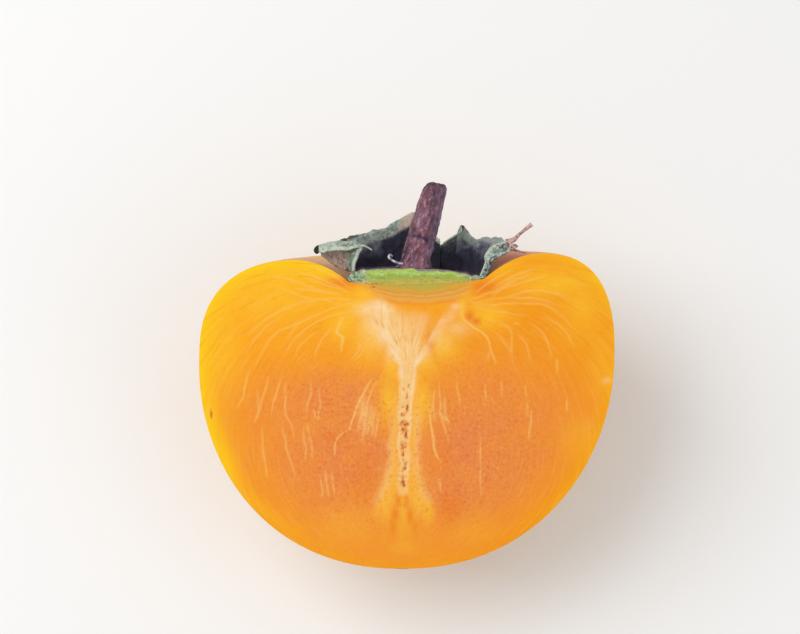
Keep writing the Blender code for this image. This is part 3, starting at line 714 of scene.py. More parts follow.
def disc_piece():
    """The disc's mesh: a dome over a dish, closed by a round rim, with crumbs and dents on its top."""
    share = np.linspace(0, 1, DISC_COLUMNS)
    radii = DISC_RIM_RADIUS * np.sin(share * np.pi / 2)
    edge = np.sqrt(np.clip(1 - (radii / DISC_RIM_RADIUS) ** 9, 0, 1))
    under = SEAT_AT - SEAT_DISH * (1 - (radii / SEAT_RADIUS) ** 2) - DISC_SUNK
    top = DISC_RIM_AT + (disc_top(radii) - DISC_RIM_AT) * edge
    bottom = DISC_RIM_AT + (under - DISC_RIM_AT) * edge
    turned, quads, outer_quads, cut, _ = cut_half(radii, top, bottom, DISC_ROWS, DISC_TURNS)
    radius = np.hypot(turned[:, 0], turned[:, 1])
    low, high = np.interp(radius, radii, bottom), np.interp(radius, radii, top)
    rise = (turned[:, 2] - low) / np.maximum(high - low, 0.2)
    crumbly = 0.07 + 0.3 * smooth_step((radius - 7.5) / 3.5)
    crumbs = 0.14 * soft_noise(turned, 1.5, 31) + crumbly * soft_noise(turned, (0.9, 2.0, 0.9), 32)
    turned[:, 2] += crumbs * smooth_step((turned[:, 2] - 54.0) / 0.8)
    points = settled(turned)
    points[cut, 1] = -DISC_PROUD + 0.04 * soft_noise(points[cut], 0.6, 33)
    return make_piece("calyx_pad", points, quads, {"rise": rise, "across": turned[:, 0]}, outer_quads)


def calyx_flesh():
    """The pad's cut flesh: moist, lime and olive green over gold, in thin layers with pale and dark
    streaks and a mauve rind along its top. The eye sees a streaky green band, crumbly and grey at its
    ends, that fades down into the orange flesh."""
    material, tree, shader = new_material("calyx_flesh")
    place = add(tree, "TexCoord", {}, "Object")
    rise = add(tree, "Attribute", {"attribute_name": "rise"}, "Fac")
    across = add(tree, "Attribute", {"attribute_name": "across"}, "Fac")
    level = add(tree, "Mapping", {"Scale": (0.4, 1, 1), "Vector": place})
    mottle = add(tree, "TexNoise", {"Scale": per(0.9), "Detail": 4, "Roughness": 0.65, "Vector": level})
    fleck = add(tree, "TexNoise", {"Scale": per(0.45), "Detail": 2, "Roughness": 0.7, "Vector": place})
    layered = add(tree, "Mapping", {"Scale": (0.22, 1, 1.1), "Vector": place})
    streak = add(tree, "TexNoise", {"Scale": per(0.5), "Detail": 3, "Roughness": 0.7, "Vector": layered})
    height = add(tree, "Math", {"operation": "MULTIPLY_ADD", 0: mottle, 1: 0.9, 2: -0.2})
    height = add(tree, "Math", {"operation": "ADD", 0: height, 1: rise})
    height = add(tree, "MapRange", {"From Min": 0.25, "From Max": 1.25, "Value": height})
    stops = [(0, "D2AC42"), (0.16, "C2AE46"), (0.36, "A9AC42")]
    stops += [(0.56, "93B040"), (0.76, "AECB52"), (1, "A9B070")]
    colour = add(tree, "ValToRGB", {"stops": stops, 0: height})
    ends = add(tree, "Math", {"operation": "ABSOLUTE", 0: across})
    stops = [(0.36, "2C3A3A"), (0.45, "6F8A78"), (0.56, "9DB39A"), (0.66, "DBE2D4")]
    crumbly = add(tree, "ValToRGB", {"stops": stops, 0: fleck})
    colour = painted(tree, colour, crumbly, ends, 8.2, 10.6, 0.8)
    flecked = add(tree, "Math", {"operation": "MULTIPLY_ADD", 0: fleck, 1: 0.4, 2: streak})
    colour = painted(tree, colour, "DCE8B8", flecked, 0.75, 0.88, 0.75, rise)
    colour = painted(tree, colour, "4E6238", flecked, 0.64, 0.5, 0.6)
    rind = add(tree, "Math", {"operation": "MULTIPLY_ADD", 0: mottle, 1: 0.35, 2: rise})
    colour = painted(tree, colour, "7A6A72", rind, 1.04, 1.12, 0.85)
    bump = add(tree, "Bump", {"Strength": 0.6, "Distance": 0.1 * MM, "Height": fleck})
    set_node(tree, shader, {"Base Color": colour, "Roughness": 0.5, "Normal": bump})
    return material


def calyx_rind_and_shade():
    """The pad's dry top and rim: matt, wrinkled and purple brown, with mauve crumbs. Its near-black
    patches are painted shade, which keeps the floor between the sepals dark."""
    material, tree, shader = new_material("calyx_rind_and_shade")
    place = add(tree, "TexCoord", {}, "Object")
    mottle = add(tree, "TexNoise", {"Scale": per(0.9), "Detail": 4, "Roughness": 0.65, "Vector": place})
    # Painted shade: the lowest, near-black stops stand for the shade between the sepals.
    stops = [(0.35, "1D1626"), (0.52, "3A2A3A"), (0.66, "6C5863"), (0.78, "93858C")]
    colour = add(tree, "ValToRGB", {"stops": stops, 0: mottle})
    bump = add(tree, "Bump", {"Strength": 0.7, "Distance": 0.2 * MM, "Height": mottle})
    set_node(tree, shader, {"Base Color": colour, "Roughness": 0.8, "Normal": bump})
    return material


disc = disc_piece()
disc.data.materials.append(calyx_flesh())
disc.data.materials.append(calyx_rind_and_shade())
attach(disc, "root")
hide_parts("calyx_disc")

# --------------------------------------------------------------------------------------------------------
# THE SEPALS
# Four dry, crinkled lobes of the calyx, thin as paper, that stand on the disc round the stem. Each grows
# from the disc's edge. They are dark inside, partly by painted shade, and grey-green outside and along
# their margins, and the knife cut the left and the right one.

SEPAL_THICKNESS = 0.45

# Each sepal is woven on lines across it, from its foot up to its margin, each a row of (x, y, z) in
# millimetres.
BACK_LEFT_LINES = [
    [
        (-10, 3, 55.1), (-7.3, 7.5, 55), (-4.2, 10.1, 54.8), (-0.3, 11.5, 54.6), (2.8, 11.6, 54.5),
        (5.9, 11, 54.3),
    ],
    [
        (-10.2, 3.6, 57.5), (-7.7, 7.9, 57.5), (-4.4, 10.6, 57.4), (-0.3, 12.1, 57.5), (2.9, 12.1, 57.3),
        (5.9, 11.3, 56.6),
    ],
    [
        (-10.5, 4.8, 59.4), (-8.1, 8.6, 59.8), (-3.9, 11.5, 60.3), (0.3, 12.9, 61.1), (3.2, 12.6, 60.4),
        (6, 11.6, 58.8),
    ],
    [
        (-11.5, 5.4, 60.3), (-8.4, 9.5, 61), (-3.4, 12.7, 62.3), (1.3, 14.1, 64.6), (3.5, 13.3, 62.4),
        (6, 11.7, 59.9),
    ],
    [
        (-12.5, 5.9, 60.2), (-8.8, 10.6, 60.9), (-3.5, 13.9, 62.3), (1.6, 15.3, 64.8), (3.6, 14.4, 62.4),
        (5.6, 12.1, 60.4),
    ],
]
BACK_RIGHT_LINES = [
    [
        (4.9, 11.9, 54.2), (6.3, 11.4, 54.2), (7.7, 10.7, 54.2), (8.6, 10, 54.2), (9.6, 9.2, 54.1),
        (10.8, 8, 54.1), (12.1, 6.6, 54),
    ],
    [
        (5.2, 12.3, 56.6), (6.8, 11.9, 56.8), (8.3, 11.2, 57), (9.2, 10.4, 57.2), (10.2, 9.6, 57.2),
        (11.4, 8.4, 57), (12.7, 6.9, 56.7),
    ],
    [
        (5.5, 12.6, 57.9), (7.1, 12.2, 58.6), (8.9, 11.6, 59.4), (9.7, 11, 60.1), (10.7, 10.1, 60.2),
        (11.8, 8.9, 59.5), (13.2, 7.3, 59),
    ],
    [
        (5.7, 12.7, 58.6), (7.4, 12.3, 59.8), (9.4, 12, 61.1), (10.1, 11.6, 62.7), (11.2, 10.6, 62),
        (12.2, 9.2, 60.6), (13.6, 7.6, 60.2),
    ],
]
RIGHT_LINES = [
    [(11.6, 6.6, 54.1), (12.6, 4.2, 54), (13.1, 2, 53.9), (13.3, 0.6, 54), (14, 0.2, 53.4)],
    [(12.3, 7, 56.6), (13.4, 4.6, 56.4), (13.9, 2.2, 56.2), (14.2, 0.7, 56.3), (15, 0.2, 55.8)],
    [(13.1, 7.7, 58.8), (14.2, 5.2, 58.6), (14.5, 2.8, 58), (14.3, 1, 57.7), (15.5, 0.2, 57)],
    [(13.6, 8, 60), (15.2, 5.6, 60), (15.7, 3.3, 59.6), (15.5, 1.3, 59.1), (17.4, 0.2, 57.9)],
    [(13.9, 8.2, 60.6), (15.9, 5.8, 60.8), (17.2, 3.9, 60.8), (17.8, 1.9, 60.5), (20.1, 0.7, 59.4)],
]
LEFT_LINES = [
    [(-9.9, 0.1, 54.9), (-10.2, 1.2, 54.9), (-10.4, 2.6, 54.9), (-10.5, 4, 54.9)],
    [(-9.8, 0.1, 56.4), (-10.2, 1.3, 56.6), (-10.6, 2.7, 56.3), (-11.2, 3.6, 54.9)],
    [(-9.3, 0.1, 57.8), (-9.9, 1.4, 58.4), (-10.7, 2.8, 57.6), (-12, 3.5, 55.1)],
    [(-8.6, 0.1, 59.2), (-9.7, 1.3, 60.1), (-11, 2.9, 58.8), (-12.8, 3.4, 55.3)],
    [(-11, 0, 59), (-11.2, 1.1, 60.2), (-12.2, 2.8, 58.7), (-13.6, 3.3, 55.7)],
    [(-13.5, 0.1, 58.7), (-13.5, 1.1, 60.1), (-14, 2.6, 59), (-14.7, 3.1, 56.6)],
    [(-16.4, 0.2, 58.3), (-16.5, 1, 59.5), (-16.3, 2, 58.9), (-15.7, 2.9, 57.7)],
]


def sepal_sheet(lines, rows, columns, seed):
    """A thin closed sheet: curves through the lines and across them, creased along its own normals, with
    its margin frayed, and both its sides half a thickness off it, joined round the edge. Gives points,
    quads and each point's share up and across the sheet, and 1 where it is on the side that faces the
    stem."""
    surface = smooth_line(np.swapaxes(smooth_line(lines, rows), 0, 1), columns)
    surface = np.swapaxes(surface, 0, 1)
    up, across = np.meshgrid(np.linspace(0, 1, rows), np.linspace(0, 1, columns), indexing="ij")
    flat = surface.reshape(-1, 3)
    crease = 0.22 * soft_noise(flat, (1.6, 1.6, 5.0), seed) + 0.15 * soft_noise(flat, 0.8, seed + 1)
    crease = crease.reshape(rows, columns) * smooth_step(up * 4)
    fray = 0.35 * soft_noise(flat, 0.9, seed + 2).reshape(rows, columns) * up**4
    surface[..., 2] += fray
    normal = np.cross(np.gradient(surface, axis=1), np.gradient(surface, axis=0))
    normal /= np.linalg.norm(normal, axis=-1, keepdims=True)
    surface += normal * crease[..., None]
    half = normal * SEPAL_THICKNESS / 2
    sides = np.stack([surface + half, surface - half])
    ids = np.arange(2 * rows * columns).reshape(2, rows, columns)
    loops = [np.concatenate([side[0], side[1:, -1], side[-1, -2::-1], side[-2::-1, 0]]) for side in ids]
    edge = quads_of(np.stack(loops))
    quads = np.concatenate([quads_of(ids[0].T), quads_of(ids[1].T)[:, ::-1], edge])
    inner = np.repeat([1.0, 0.0], rows * columns)
    return sides.reshape(-1, 3), quads, np.tile(up.ravel(), 2), np.tile(across.ravel(), 2), inner


def closed_tube(rings, first, last):
    """Points and quads of a skin over rings of points, closed at each end by a fan to one more point."""
    count, turns = rings.shape[:2]
    points = np.concatenate([rings.reshape(-1, 3), [first], [last]])
    ids = np.arange(count * turns).reshape(count, turns)
    ids = np.concatenate([np.full((1, turns), count * turns), ids, np.full((1, turns), count * turns + 1)])
    return points, quads_of(np.concatenate([ids, ids[:, :1]], axis=1))


def round_tube(path, radii, turns=14):
    """A closed tapering tube: circles square to a smooth path. path is (x, y, z) in millimetres, and radii
    go with its points."""
    centres = smooth_line(path, 6 * len(path))
    thick = smooth_line(np.asarray(radii)[:, None], len(centres))
    along = np.gradient(centres, axis=0)
    along /= np.linalg.norm(along, axis=1, keepdims=True)
    side = np.cross(along, (0.0, 1.0, 0.3))
    side /= np.linalg.norm(side, axis=1, keepdims=True)
    other = np.cross(along, side)
    angle = np.linspace(0, 2 * np.pi, turns + 1)[:-1, None, None]
    rings = centres + thick * (side * np.cos(angle) + other * np.sin(angle))
    return closed_tube(np.swapaxes(rings, 0, 1), centres[0], centres[-1])


# What covers parts of a sepal: dried brown, a net of veins, bleached, grey patches that are partly dust and
# partly a painted sheen, dark dry edges with painted shadow, pinkish.
SEPAL_LAYERS = ("tan", "net", "bleached", "dusty", "charred", "rosy")


def sepal_piece(name, lines, grid, seed, marks, tubes=()):
    """One sepal's mesh. grid is its rows and columns, and seed picks its creases. marks gives some of its
    layers, each a function of the shares across and up it, and tubes gives the rolled or shrivelled bits,
    each (path, radii, the layer that covers it)."""
    points, quads, up, across, inner = sepal_sheet(lines, *grid, seed)
    layers = {"up": up, "inner": inner}
    for layer in SEPAL_LAYERS:
        layers[layer] = marks[layer](across, up) if layer in marks else 0 * up
    for path, radii, cover in tubes:
        more, more_quads = round_tube(path, radii)
        quads = np.concatenate([quads, more_quads + len(points)])
        points = np.concatenate([points, more])
        for layer in layers:
            value = {"up": 0.9, cover: 1.0}.get(layer, 0.0)
            layers[layer] = np.concatenate([layers[layer], np.full(len(more), value)])
    return make_piece(name, points, quads, layers)


def dry_sepal():
    """Dry calyx lobes: papery, creased and matt. The eye sees insides that are purple at the foot and
    grey-green towards the margin, with painted shade that makes them almost black between, outsides pale
    grey-green with dark blotches, grey patches that are partly dust and partly a painted sheen, and tan,
    pinkish, bleached and net-veined parts, dark dry edges and painted shadow."""
    material, tree, shader = new_material("dry_sepal")
    place = add(tree, "TexCoord", {}, "Object")
    names = ("up", "inner", *SEPAL_LAYERS)
    layer = {name: add(tree, "Attribute", {"attribute_name": name}, "Fac") for name in names}
    blotch = add(tree, "TexNoise", {"Scale": per(2.2), "Detail": 4, "Roughness": 0.6, "Vector": place})
    upright = add(tree, "Mapping", {"Scale": (1, 0.25, 0.6), "Vector": place})
    vein = add(tree, "TexNoise", {"Scale": per(0.45), "Detail": 3, "Roughness": 0.7, "Vector": upright})
    shade = add(tree, "Math", {"operation": "MULTIPLY_ADD", 0: blotch, 1: 0.45, 2: layer["up"]})
    shade = add(tree, "Math", {"operation": "MULTIPLY_ADD", 0: vein, 1: 0.14, 2: shade})
    shade = add(tree, "MapRange", {"From Min": 0.25, "From Max": 1.3, "Value": shade})
    # The inside: purple at the foot, grey-green towards the margin, and painted near black between, as the
    # shade deep in the cup.
    stops = [(0, "3A2840"), (0.2, "17142B"), (0.54, "191A2F")]
    stops += [(0.72, "3E4848"), (0.86, "6F7F75"), (1, "98A78F")]
    inside_and_shade = add(tree, "ValToRGB", {"stops": stops, 0: shade})
    stops = [(0.32, "4F5F5E"), (0.45, "7C9280"), (0.58, "94AB90"), (0.72, "A9B99B")]
    outside = add(tree, "ValToRGB", {"stops": stops, 0: blotch})
    colour = add(tree, "MixRGB", {"Fac": layer["inner"], "Color1": outside, "Color2": inside_and_shade})
    margin = add(tree, "Math", {"operation": "MULTIPLY", 0: layer["up"], 1: layer["up"]})
    colour = painted(tree, colour, "B3BFA8", vein, 0.55, 0.7, 0.35, margin)
    # Grey patches: partly dust, partly a painted sheen.
    colour = painted(tree, colour, "6A6B7A", blotch, 0.38, 0.6, 1, layer["dusty"])
    wrinkle = add(tree, "Mapping", {"Scale": (1, 1, 0.5), "Rotation": (0, 0, 0.7), "Vector": place})
    cells = add(tree, "TexNoise", {"Scale": per(0.7), "Detail": 3, "Roughness": 0.8, "Vector": wrinkle})
    stops = [(0.38, "252C2B"), (0.45, "66756D"), (0.54, "8FA095"), (0.64, "C6CFC1")]
    net = add(tree, "ValToRGB", {"stops": stops, 0: cells})
    colour = add(tree, "MixRGB", {"Fac": layer["net"], "Color1": colour, "Color2": net})
    colour = painted(tree, colour, "CB9E8D", vein, 0.35, 0.6, 1, layer["tan"], 0.35)
    colour = painted(tree, colour, "C6CFBC", cells, 0.3, 0.55, 1, layer["bleached"], 0.3)
    stops = [(0.38, "4E3A40"), (0.46, "A6837E"), (0.6, "D6B2A8")]
    pinks = add(tree, "ValToRGB", {"stops": stops, 0: cells})
    colour = add(tree, "MixRGB", {"Fac": layer["rosy"], "Color1": colour, "Color2": pinks})
    # Dark dry edges, and painted shadow under the left lobe's flap and in its roll's open end.
    colour = add(tree, "MixRGB", {"Fac": layer["charred"], "Color1": colour, "Color2": "221B1C"})
    height = add(tree, "Math", {"operation": "ADD", 0: vein, 1: blotch})
    bump = add(tree, "Bump", {"Strength": 0.6, "Distance": 0.12 * MM, "Height": height})
    set_node(tree, shader, {"Base Color": colour, "Roughness": 0.75, "Normal": bump})
    return material


sepal_skin = dry_sepal()


def between(value, low, high, soft):
    """1 from low to high, fading to 0 over soft on either side."""
    return smooth_step((value - low) / soft + 1) * smooth_step((high - value) / soft + 1)


def rolled_band(across, up, soft=0.08):
    """The back left lobe's outside, which shows where its margin rolls over, further down on its left."""
    return between(up, 0.38 + 0.44 * across, 1.0, soft)


back_left = sepal_piece(
    "back_left_lobe",
    BACK_LEFT_LINES,
    (60, 110),
    41,
    {
        "tan": lambda across, up: between(across, 0.52, 0.68, 0.06) * rolled_band(across, up, 0.06),
        "dusty": lambda across, up: 0.9 * between(across, 0.0, 0.3, 0.15) * between(up, 0.4, 0.75, 0.25),
        "bleached": lambda across, up: np.maximum(
            (0.2 + 0.3 * across) * rolled_band(across, up) * between(across, 0.0, 0.55, 0.1),
            between(up, 0.6, 1.0, 0.05) * between(across, 0.93, 1.0, 0.02),
        ),
        "net": lambda across, up: 0.55 * rolled_band(across, up) * between(across, 0.1, 0.6, 0.1),
        "charred": lambda across, up: 0.8 * between(across, 0.0, 0.14, 0.03) * between(up, 0.72, 1.0, 0.05),
    },
)
back_right = sepal_piece(
    "back_right_lobe",
    BACK_RIGHT_LINES,
    (60, 70),
    45,
    {
        "bleached": lambda across, up: np.maximum(
            between(up, 0.94, 1.0, 0.02) * between(across, 0.1, 0.5, 0.03),
            0.35 * between(across, 0.46, 1.0, 0.03) * between(up, 0.72, 1.0, 0.15),
        ),
        "dusty": lambda across, up: 0.95 * between(across, 0.48, 1.0, 0.03) * between(up, 0.6, 1.0, 0.35),
        "charred": lambda across, up: 0.9 * between(across, 0.52, 0.57, 0.02) * between(up, 0.88, 1, 0.05),
    },
    [
        (
            [(6.6, 11.9, 59.4), (7.8, 11.6, 60.2), (9.4, 11.2, 61.2), (10, 10.9, 61.9), (9.8, 11, 62.8)],
            [0.12, 0.2, 0.22, 0.2, 0.12],
            "bleached",
        ),
    ],
)
right = sepal_piece(
    "right_lobe",
    RIGHT_LINES,
    (80, 110),
    49,
    {
        "net": lambda across, up: between(across, 0.77, 1.0, 0.03),
        "bleached": lambda across, up: np.maximum(
            between(across, 0.735, 0.775, 0.02),
            0.35 * between(across, 0.0, 0.7, 0.04) * between(up, 0.76, 1.0, 0.12),
        ),
        "dusty": lambda across, up: 0.95 * between(across, 0.0, 0.7, 0.1) * between(up, 0.6, 1.0, 0.4),
        "rosy": lambda across, up: 0.8 * between(across, 0.86, 1.0, 0.04) * between(up, 0.9, 1.0, 0.04),
    },
    [
        (
            [(18.0, 1.9, 60.1), (19.4, 1.6, 60.7), (20.4, 1.5, 61.7), (21.5, 1.4, 62.6), (22.6, 1.3, 63.5)],
            [0.62, 0.46, 0.3, 0.34, 0.46],
            "rosy",
        ),
        (
            [(16.9, 1.4, 58.5), (18.2, 1.6, 58.8), (19.6, 1.8, 58.7), (21.6, 2.2, 58.2)],
            [0.34, 0.26, 0.24, 0.12],
            "rosy",
        ),
    ],
)
left = sepal_piece(
    "left_lobe",
    LEFT_LINES,
    (120, 70),
    53,
    {
        "tan": lambda across, up: 0.6 * between(across, 0.72, 1.0, 0.2) * between(up, 0.3, 1.0, 0.15),
        "net": lambda across, up: 0.7 * np.maximum(
            between(across, 0.0, 0.4, 0.08) * between(up, 0.3, 1.0, 0.08),
            0.8 * between(across, 0.5, 1.0, 0.1),
        ),
        "rosy": lambda across, up: 0.6 * between(across, 0.84, 1.0, 0.1) * between(up, 0.1, 0.7, 0.2),
        "bleached": lambda across, up: np.maximum(
            between(across, 0.0, 0.4, 0.08)
            * (0.5 * between(up, 0.5, 1.0, 0.05) + 0.25 * between(up, 0.85, 1.0, 0.05)),
            0.9 * between(across, 0.0, 0.1, 0.06),
        ),
        # Painted shadow: the roll's open left end and the dark under the flap.
        "charred": lambda across, up: np.maximum(
            0.9 * between(up, 0.985, 1.0, 0.01),
            0.8 * between(across, 0.5, 0.62, 0.1) * between(up, 0.45, 0.9, 0.1),
        ),
    },
    [
        (
            [(-9.0, 0.5, 59.3), (-8.2, 0.6, 59.6), (-7.4, 0.9, 59.3), (-6.6, 1.2, 58.8)],
            [0.32, 0.22, 0.16, 0.1],
            "bleached",
        ),
        # The roll's open end, painted dark as the shade inside it.
        ([(-16.5, 0.3, 58.2), (-16.8, 0.5, 58.8), (-16.5, 1.0, 59.5)], [0.25, 0.42, 0.22], "charred"),
    ],
)
for piece, node in (
    (back_left, "sepal_back_left"),
    (back_right, "sepal_back_right"),
    (right, "sepal_right"),
    (left, "sepal_left"),
):
    piece.data.materials.append(sepal_skin)
    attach(piece, "root")
    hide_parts(node)

# --------------------------------------------------------------------------------------------------------
# THE STEM
# A snapped stub of the twig, woody and ridged, leaning to the right on the middle of the disc. It grows
# from the disc, so its flared foot runs a little into it.

STEM_FOOT = np.array([1.0, 3.4, 55.2])
STEM_LENGTH = 16.2
STEM_ROWS, STEM_TURNS = 190, 120
STEM_LEAN_RIGHT, STEM_LEAN_OUT = np.radians(14.5), np.radians(4.0)
STEM_RADII = ([0.0, 0.12, 0.45, 1.0], [3.25, 2.75, 2.7, 2.15])  # at these shares of its length
CRACK_AT = 5.9  # how far up the stub it is cracked across
STEM_SIDE = [
    (0, 0.99), (0.4, 1), (0.75, 0.985), (0.95, 0.955), (1, 0.9), (1, 0.6), (1, 0.3), (1.02, 0.1), (1.06, 0),
    (0.6, -0.01), (0, -0.01),
]


def stem_piece():
    """The stub's mesh: a profile carried round an axis, with long ridges, a crack across it, a ragged
    end, and each level slid sideways by its lean."""
    share, at = smooth_line(STEM_SIDE, STEM_ROWS).T
    angle = np.linspace(0, 2 * np.pi, STEM_TURNS + 1)[:-1]
    radius = (np.clip(share, 0, None) * np.interp(at, *STEM_RADII))[:, None]
    height = at[:, None] * STEM_LENGTH + 0 * angle
    around = np.stack([3 * np.cos(angle) + 0 * height, 3 * np.sin(angle) + 0 * height, height], axis=-1)
    flat = around.reshape(-1, 3)
    ridge = 0.24 * soft_noise(flat, (1.5, 1.5, 9.0), 61) + 0.10 * soft_noise(flat, (0.6, 0.6, 3.0), 62)
    ridge += 0.24 * soft_noise(flat, 1.8, 63) + 0.09 * soft_noise(flat, 0.5, 64)
    ridge = ridge.reshape(height.shape)
    # The crack wavers across the front, lower on its right, and fades out towards the sides.
    crack_at = CRACK_AT - 0.84 * np.cos(angle) + 0.25 * np.sin(3 * angle)
    from_front = abs(np.arctan2(np.sin(angle + 1.7), np.cos(angle + 1.7)))
    crack = np.exp(-(((height - crack_at) / 0.28) ** 2)) * smooth_step(1.2 - from_front / 1.3)
    radius = radius * (1 + ridge / 2.7 - 0.14 * crack)
    ragged = (0.5 * soft_noise(flat, 1.3, 65) + 0.25 * soft_noise(flat, 0.5, 66)).reshape(height.shape)
    height = height + ragged * smooth_step((at[:, None] - 0.93) / 0.06)
    x = radius * np.cos(angle) + height * np.sin(STEM_LEAN_RIGHT)
    y = radius * np.sin(angle) - height * np.sin(STEM_LEAN_OUT)
    z = height * np.cos(STEM_LEAN_RIGHT) * np.cos(STEM_LEAN_OUT)
    grid = np.stack([x, y, z], axis=-1) + STEM_FOOT
    points, quads = closed_tube(grid[1:-1], grid[0].mean(axis=0), grid[-1].mean(axis=0))
    layers = {
        name: np.append(layer[1:-1].ravel(), [layer[0].mean(), layer[-1].mean()])
        for name, layer in (("height", height), ("ridge", ridge), ("crack", crack))
    }
    layers["around"] = np.concatenate([around[1:-1].reshape(-1, 3), [[0, 0, STEM_LENGTH], [0, 0, 0]]])
    return make_piece("stem_stub", points, quads, layers)


def bark():
    """Dry bark of the stub: matt purple brown with mauve ridges, dark furrows and a reddish side. The
    ridges are painted lighter and the dips between them darker, as light and shade, with a painted
    violet-grey highlight down the right side. The eye sees long uneven streaks, small pale flakes, a dark
    crack painted as the shade in it, and a dark torn end."""
    material, tree, shader = new_material("bark")
    names = ("height", "ridge", "crack")
    layer = {name: add(tree, "Attribute", {"attribute_name": name}, "Fac") for name in names}
    # around is in millimetres, so the furrows are 0.9 mm apart, the blotches 2.2 mm, the flakes 0.7 mm.
    around = add(tree, "Attribute", {"attribute_name": "around"}, "Vector")
    long_place = add(tree, "Mapping", {"Scale": (1, 1, 0.32), "Vector": around})
    furrow = add(tree, "TexNoise", {"Scale": 1.1, "Detail": 5, "Roughness": 0.65, "Vector": long_place})
    blotch = add(tree, "TexNoise", {"Scale": 0.45, "Detail": 3, "Vector": around})
    # Painted light and shade: the tone rises with the raised ridges and falls in the dips between them.
    tone = add(tree, "Math", {"operation": "MULTIPLY_ADD", 0: layer["ridge"], 1: 0.5, 2: furrow})
    stops = [(0.26, "2E1C30"), (0.4, "573446"), (0.52, "77495B"), (0.64, "8F6379"), (0.78, "B294B2")]
    colour = add(tree, "ValToRGB", {"stops": stops, 0: tone})
    colour = painted(tree, colour, "7A3F42", blotch, 0.45, 0.62, 0.6)
    # Painted highlight: violet grey down the stub's right side.
    colour = painted(tree, colour, "82708F", add(tree, "SeparateXYZ", {0: around}, "X"), 0.5, 3, 0.45)
    flake_place = add(tree, "Mapping", {"Scale": (1, 1, 0.6), "Vector": around})
    flake = add(tree, "TexNoise", {"Scale": 1.4, "Detail": 3, "Roughness": 0.65, "Vector": flake_place})
    colour = painted(tree, colour, "BC9AAE", flake, 0.55, 0.67, 0.6)
    colour = painted(tree, colour, "2B1828", flake, 0.46, 0.36, 0.6)
    # Painted shade: the crack is near black, as the shade inside it.
    colour = add(tree, "MixRGB", {"Fac": layer["crack"], "Color1": colour, "Color2": "2C1B33"})
    colour = painted(tree, colour, "3B2430", layer["height"], 15.3, 16, 0.7)
    relief = add(tree, "Math", {"operation": "ADD", 0: furrow, 1: flake})
    bump = add(tree, "Bump", {"Strength": 0.8, "Distance": 0.25 * MM, "Height": relief})
    set_node(tree, shader, {"Base Color": colour, "Roughness": 0.62, "Normal": bump})
    return material


stem = stem_piece()
stem.data.materials.append(bark())
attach(stem, "root")
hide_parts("stem")

# --------------------------------------------------------------------------------------------------------
# THE STEM SCALE
# A tiny dry scale of the bud, thin, pale and stiff, curled like a hook. It grows from the left of the
# stem's foot and stands clear of the disc.

SCALE_PATH = [
    (-0.9, 0.6, 56.3), (-2, 1, 56.5), (-2.9, 1.4, 56.9), (-3.5, 1.6, 57.4), (-3.3, 1.7, 57.9),
    (-2.8, 1.7, 57.6),
]
SCALE_RADII = [0.22, 0.22, 0.22, 0.22, 0.19, 0.14]


def dry_scale():
    """The scale's skin: dry, matt and almost white, with lilac and grey in its creases."""
    material, tree, shader = new_material("dry_scale")
    place = add(tree, "TexCoord", {}, "Object")
    mottle = add(tree, "TexNoise", {"Scale": per(0.8), "Detail": 3, "Vector": place})
    stops = [(0.35, "6E6780"), (0.5, "A59DB0"), (0.65, "D3D2CE")]
    colour = add(tree, "ValToRGB", {"stops": stops, 0: mottle})
    set_node(tree, shader, {"Base Color": colour, "Roughness": 0.7})
    return material


scale = make_piece("bud_scale", *round_tube(SCALE_PATH, SCALE_RADII, 16))
scale.data.materials.append(dry_scale())
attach(scale, "root")
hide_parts("stem_scale")

# --------------------------------------------------------------------------------------------------------
# THE ROOM
# A plain pale floor under a big soft lamp high on the left, a weaker one on the right, and a faint even
# light all round.

FLOOR_SIZE = 4.0
LAMP_SIZE = 0.5
KEY_AT, KEY_POWER = (-0.38, 0.14, 0.58), 2.3
FILL_AT, FILL_POWER = (0.45, -0.25, 0.45), 0.5
ROOM_LIGHT = 0.6
SENSOR_WIDTH = 36.0
CUT_FACE_WIDTH_SEEN = 146.15  # how much of the cut face's plane fits across the view
LOOK_AT = np.array([-1.46, 0.0, 46.6])
CAMERA_DISTANCE = 430.0
CAMERA_ABOVE = np.radians(5.0)  # above the line square to the cut face, towards the stem


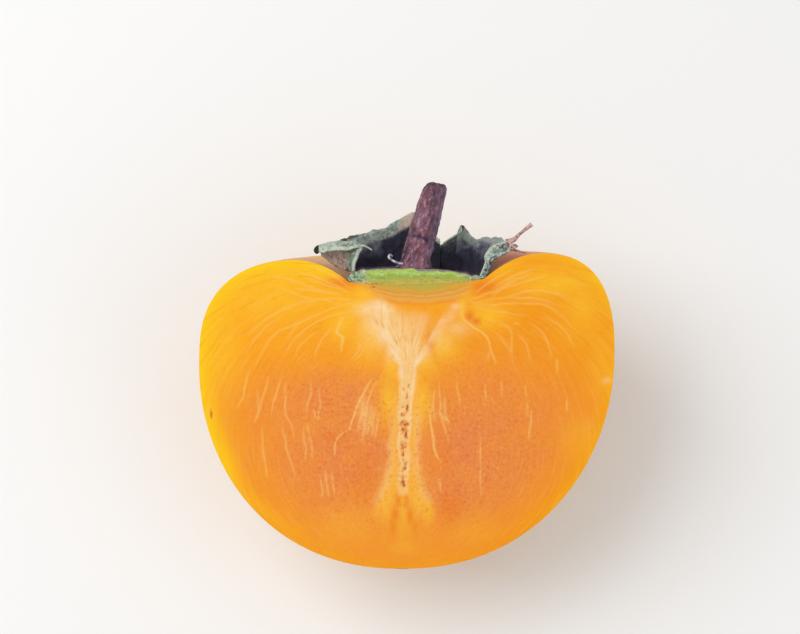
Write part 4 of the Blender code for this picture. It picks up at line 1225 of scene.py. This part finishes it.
def add_floor():
    """A wide level sheet of matt paper."""
    half = FLOOR_SIZE / 2
    mesh = bpy.data.meshes.new("floor")
    corners = [(-half, -half, 0), (half, -half, 0), (half, half, 0), (-half, half, 0)]
    mesh.from_pydata(corners, [], [(0, 1, 2, 3)])
    floor = bpy.data.objects.new("floor", mesh)
    bpy.context.scene.collection.objects.link(floor)
    material, tree, shader = new_material("pale_paper")
    set_node(tree, shader, {"Base Color": "F8F8F7", "Roughness": 0.9})
    mesh.materials.append(material)


def add_lamp(name, location, power):
    """A square soft lamp that faces the fruit."""
    data = bpy.data.lights.new(name, "AREA")
    data.size = LAMP_SIZE
    data.energy = power
    lamp = bpy.data.objects.new(name, data)
    bpy.context.scene.collection.objects.link(lamp)
    lamp.location = location
    lamp.rotation_euler = (-lamp.location).to_track_quat("-Z", "Y").to_euler()


def add_camera():
    """Looks down on the cut face from a little towards the stem."""
    origin = laid_down(LOOK_AT[None])[0] + PLACE
    back = laid_down(np.array([[0, -np.cos(CAMERA_ABOVE), np.sin(CAMERA_ABOVE)]]))[0]
    up = laid_down(np.array([[0, np.sin(CAMERA_ABOVE), np.cos(CAMERA_ABOVE)]]))[0]
    data = bpy.data.cameras.new("camera")
    data.sensor_width = SENSOR_WIDTH
    data.lens = SENSOR_WIDTH * CAMERA_DISTANCE / CUT_FACE_WIDTH_SEEN
    camera = bpy.data.objects.new("camera", data)
    bpy.context.scene.collection.objects.link(camera)
    turn = Matrix(((1, 0, 0), tuple(up), tuple(back))).transposed().to_4x4()
    camera.matrix_world = Matrix.Translation((origin + back * CAMERA_DISTANCE) * MM) @ turn
    bpy.context.scene.camera = camera


add_floor()
add_lamp("key", KEY_AT, KEY_POWER)
add_lamp("fill", FILL_AT, FILL_POWER)
add_camera()
world = bpy.data.worlds.new("soft_room")
world.use_nodes = True
set_node(world.node_tree, world.node_tree.nodes["Background"], {"Color": "FFFFFF", "Strength": ROOM_LIGHT})
bpy.context.scene.world = world
bpy.context.scene.view_settings.view_transform = "Standard"
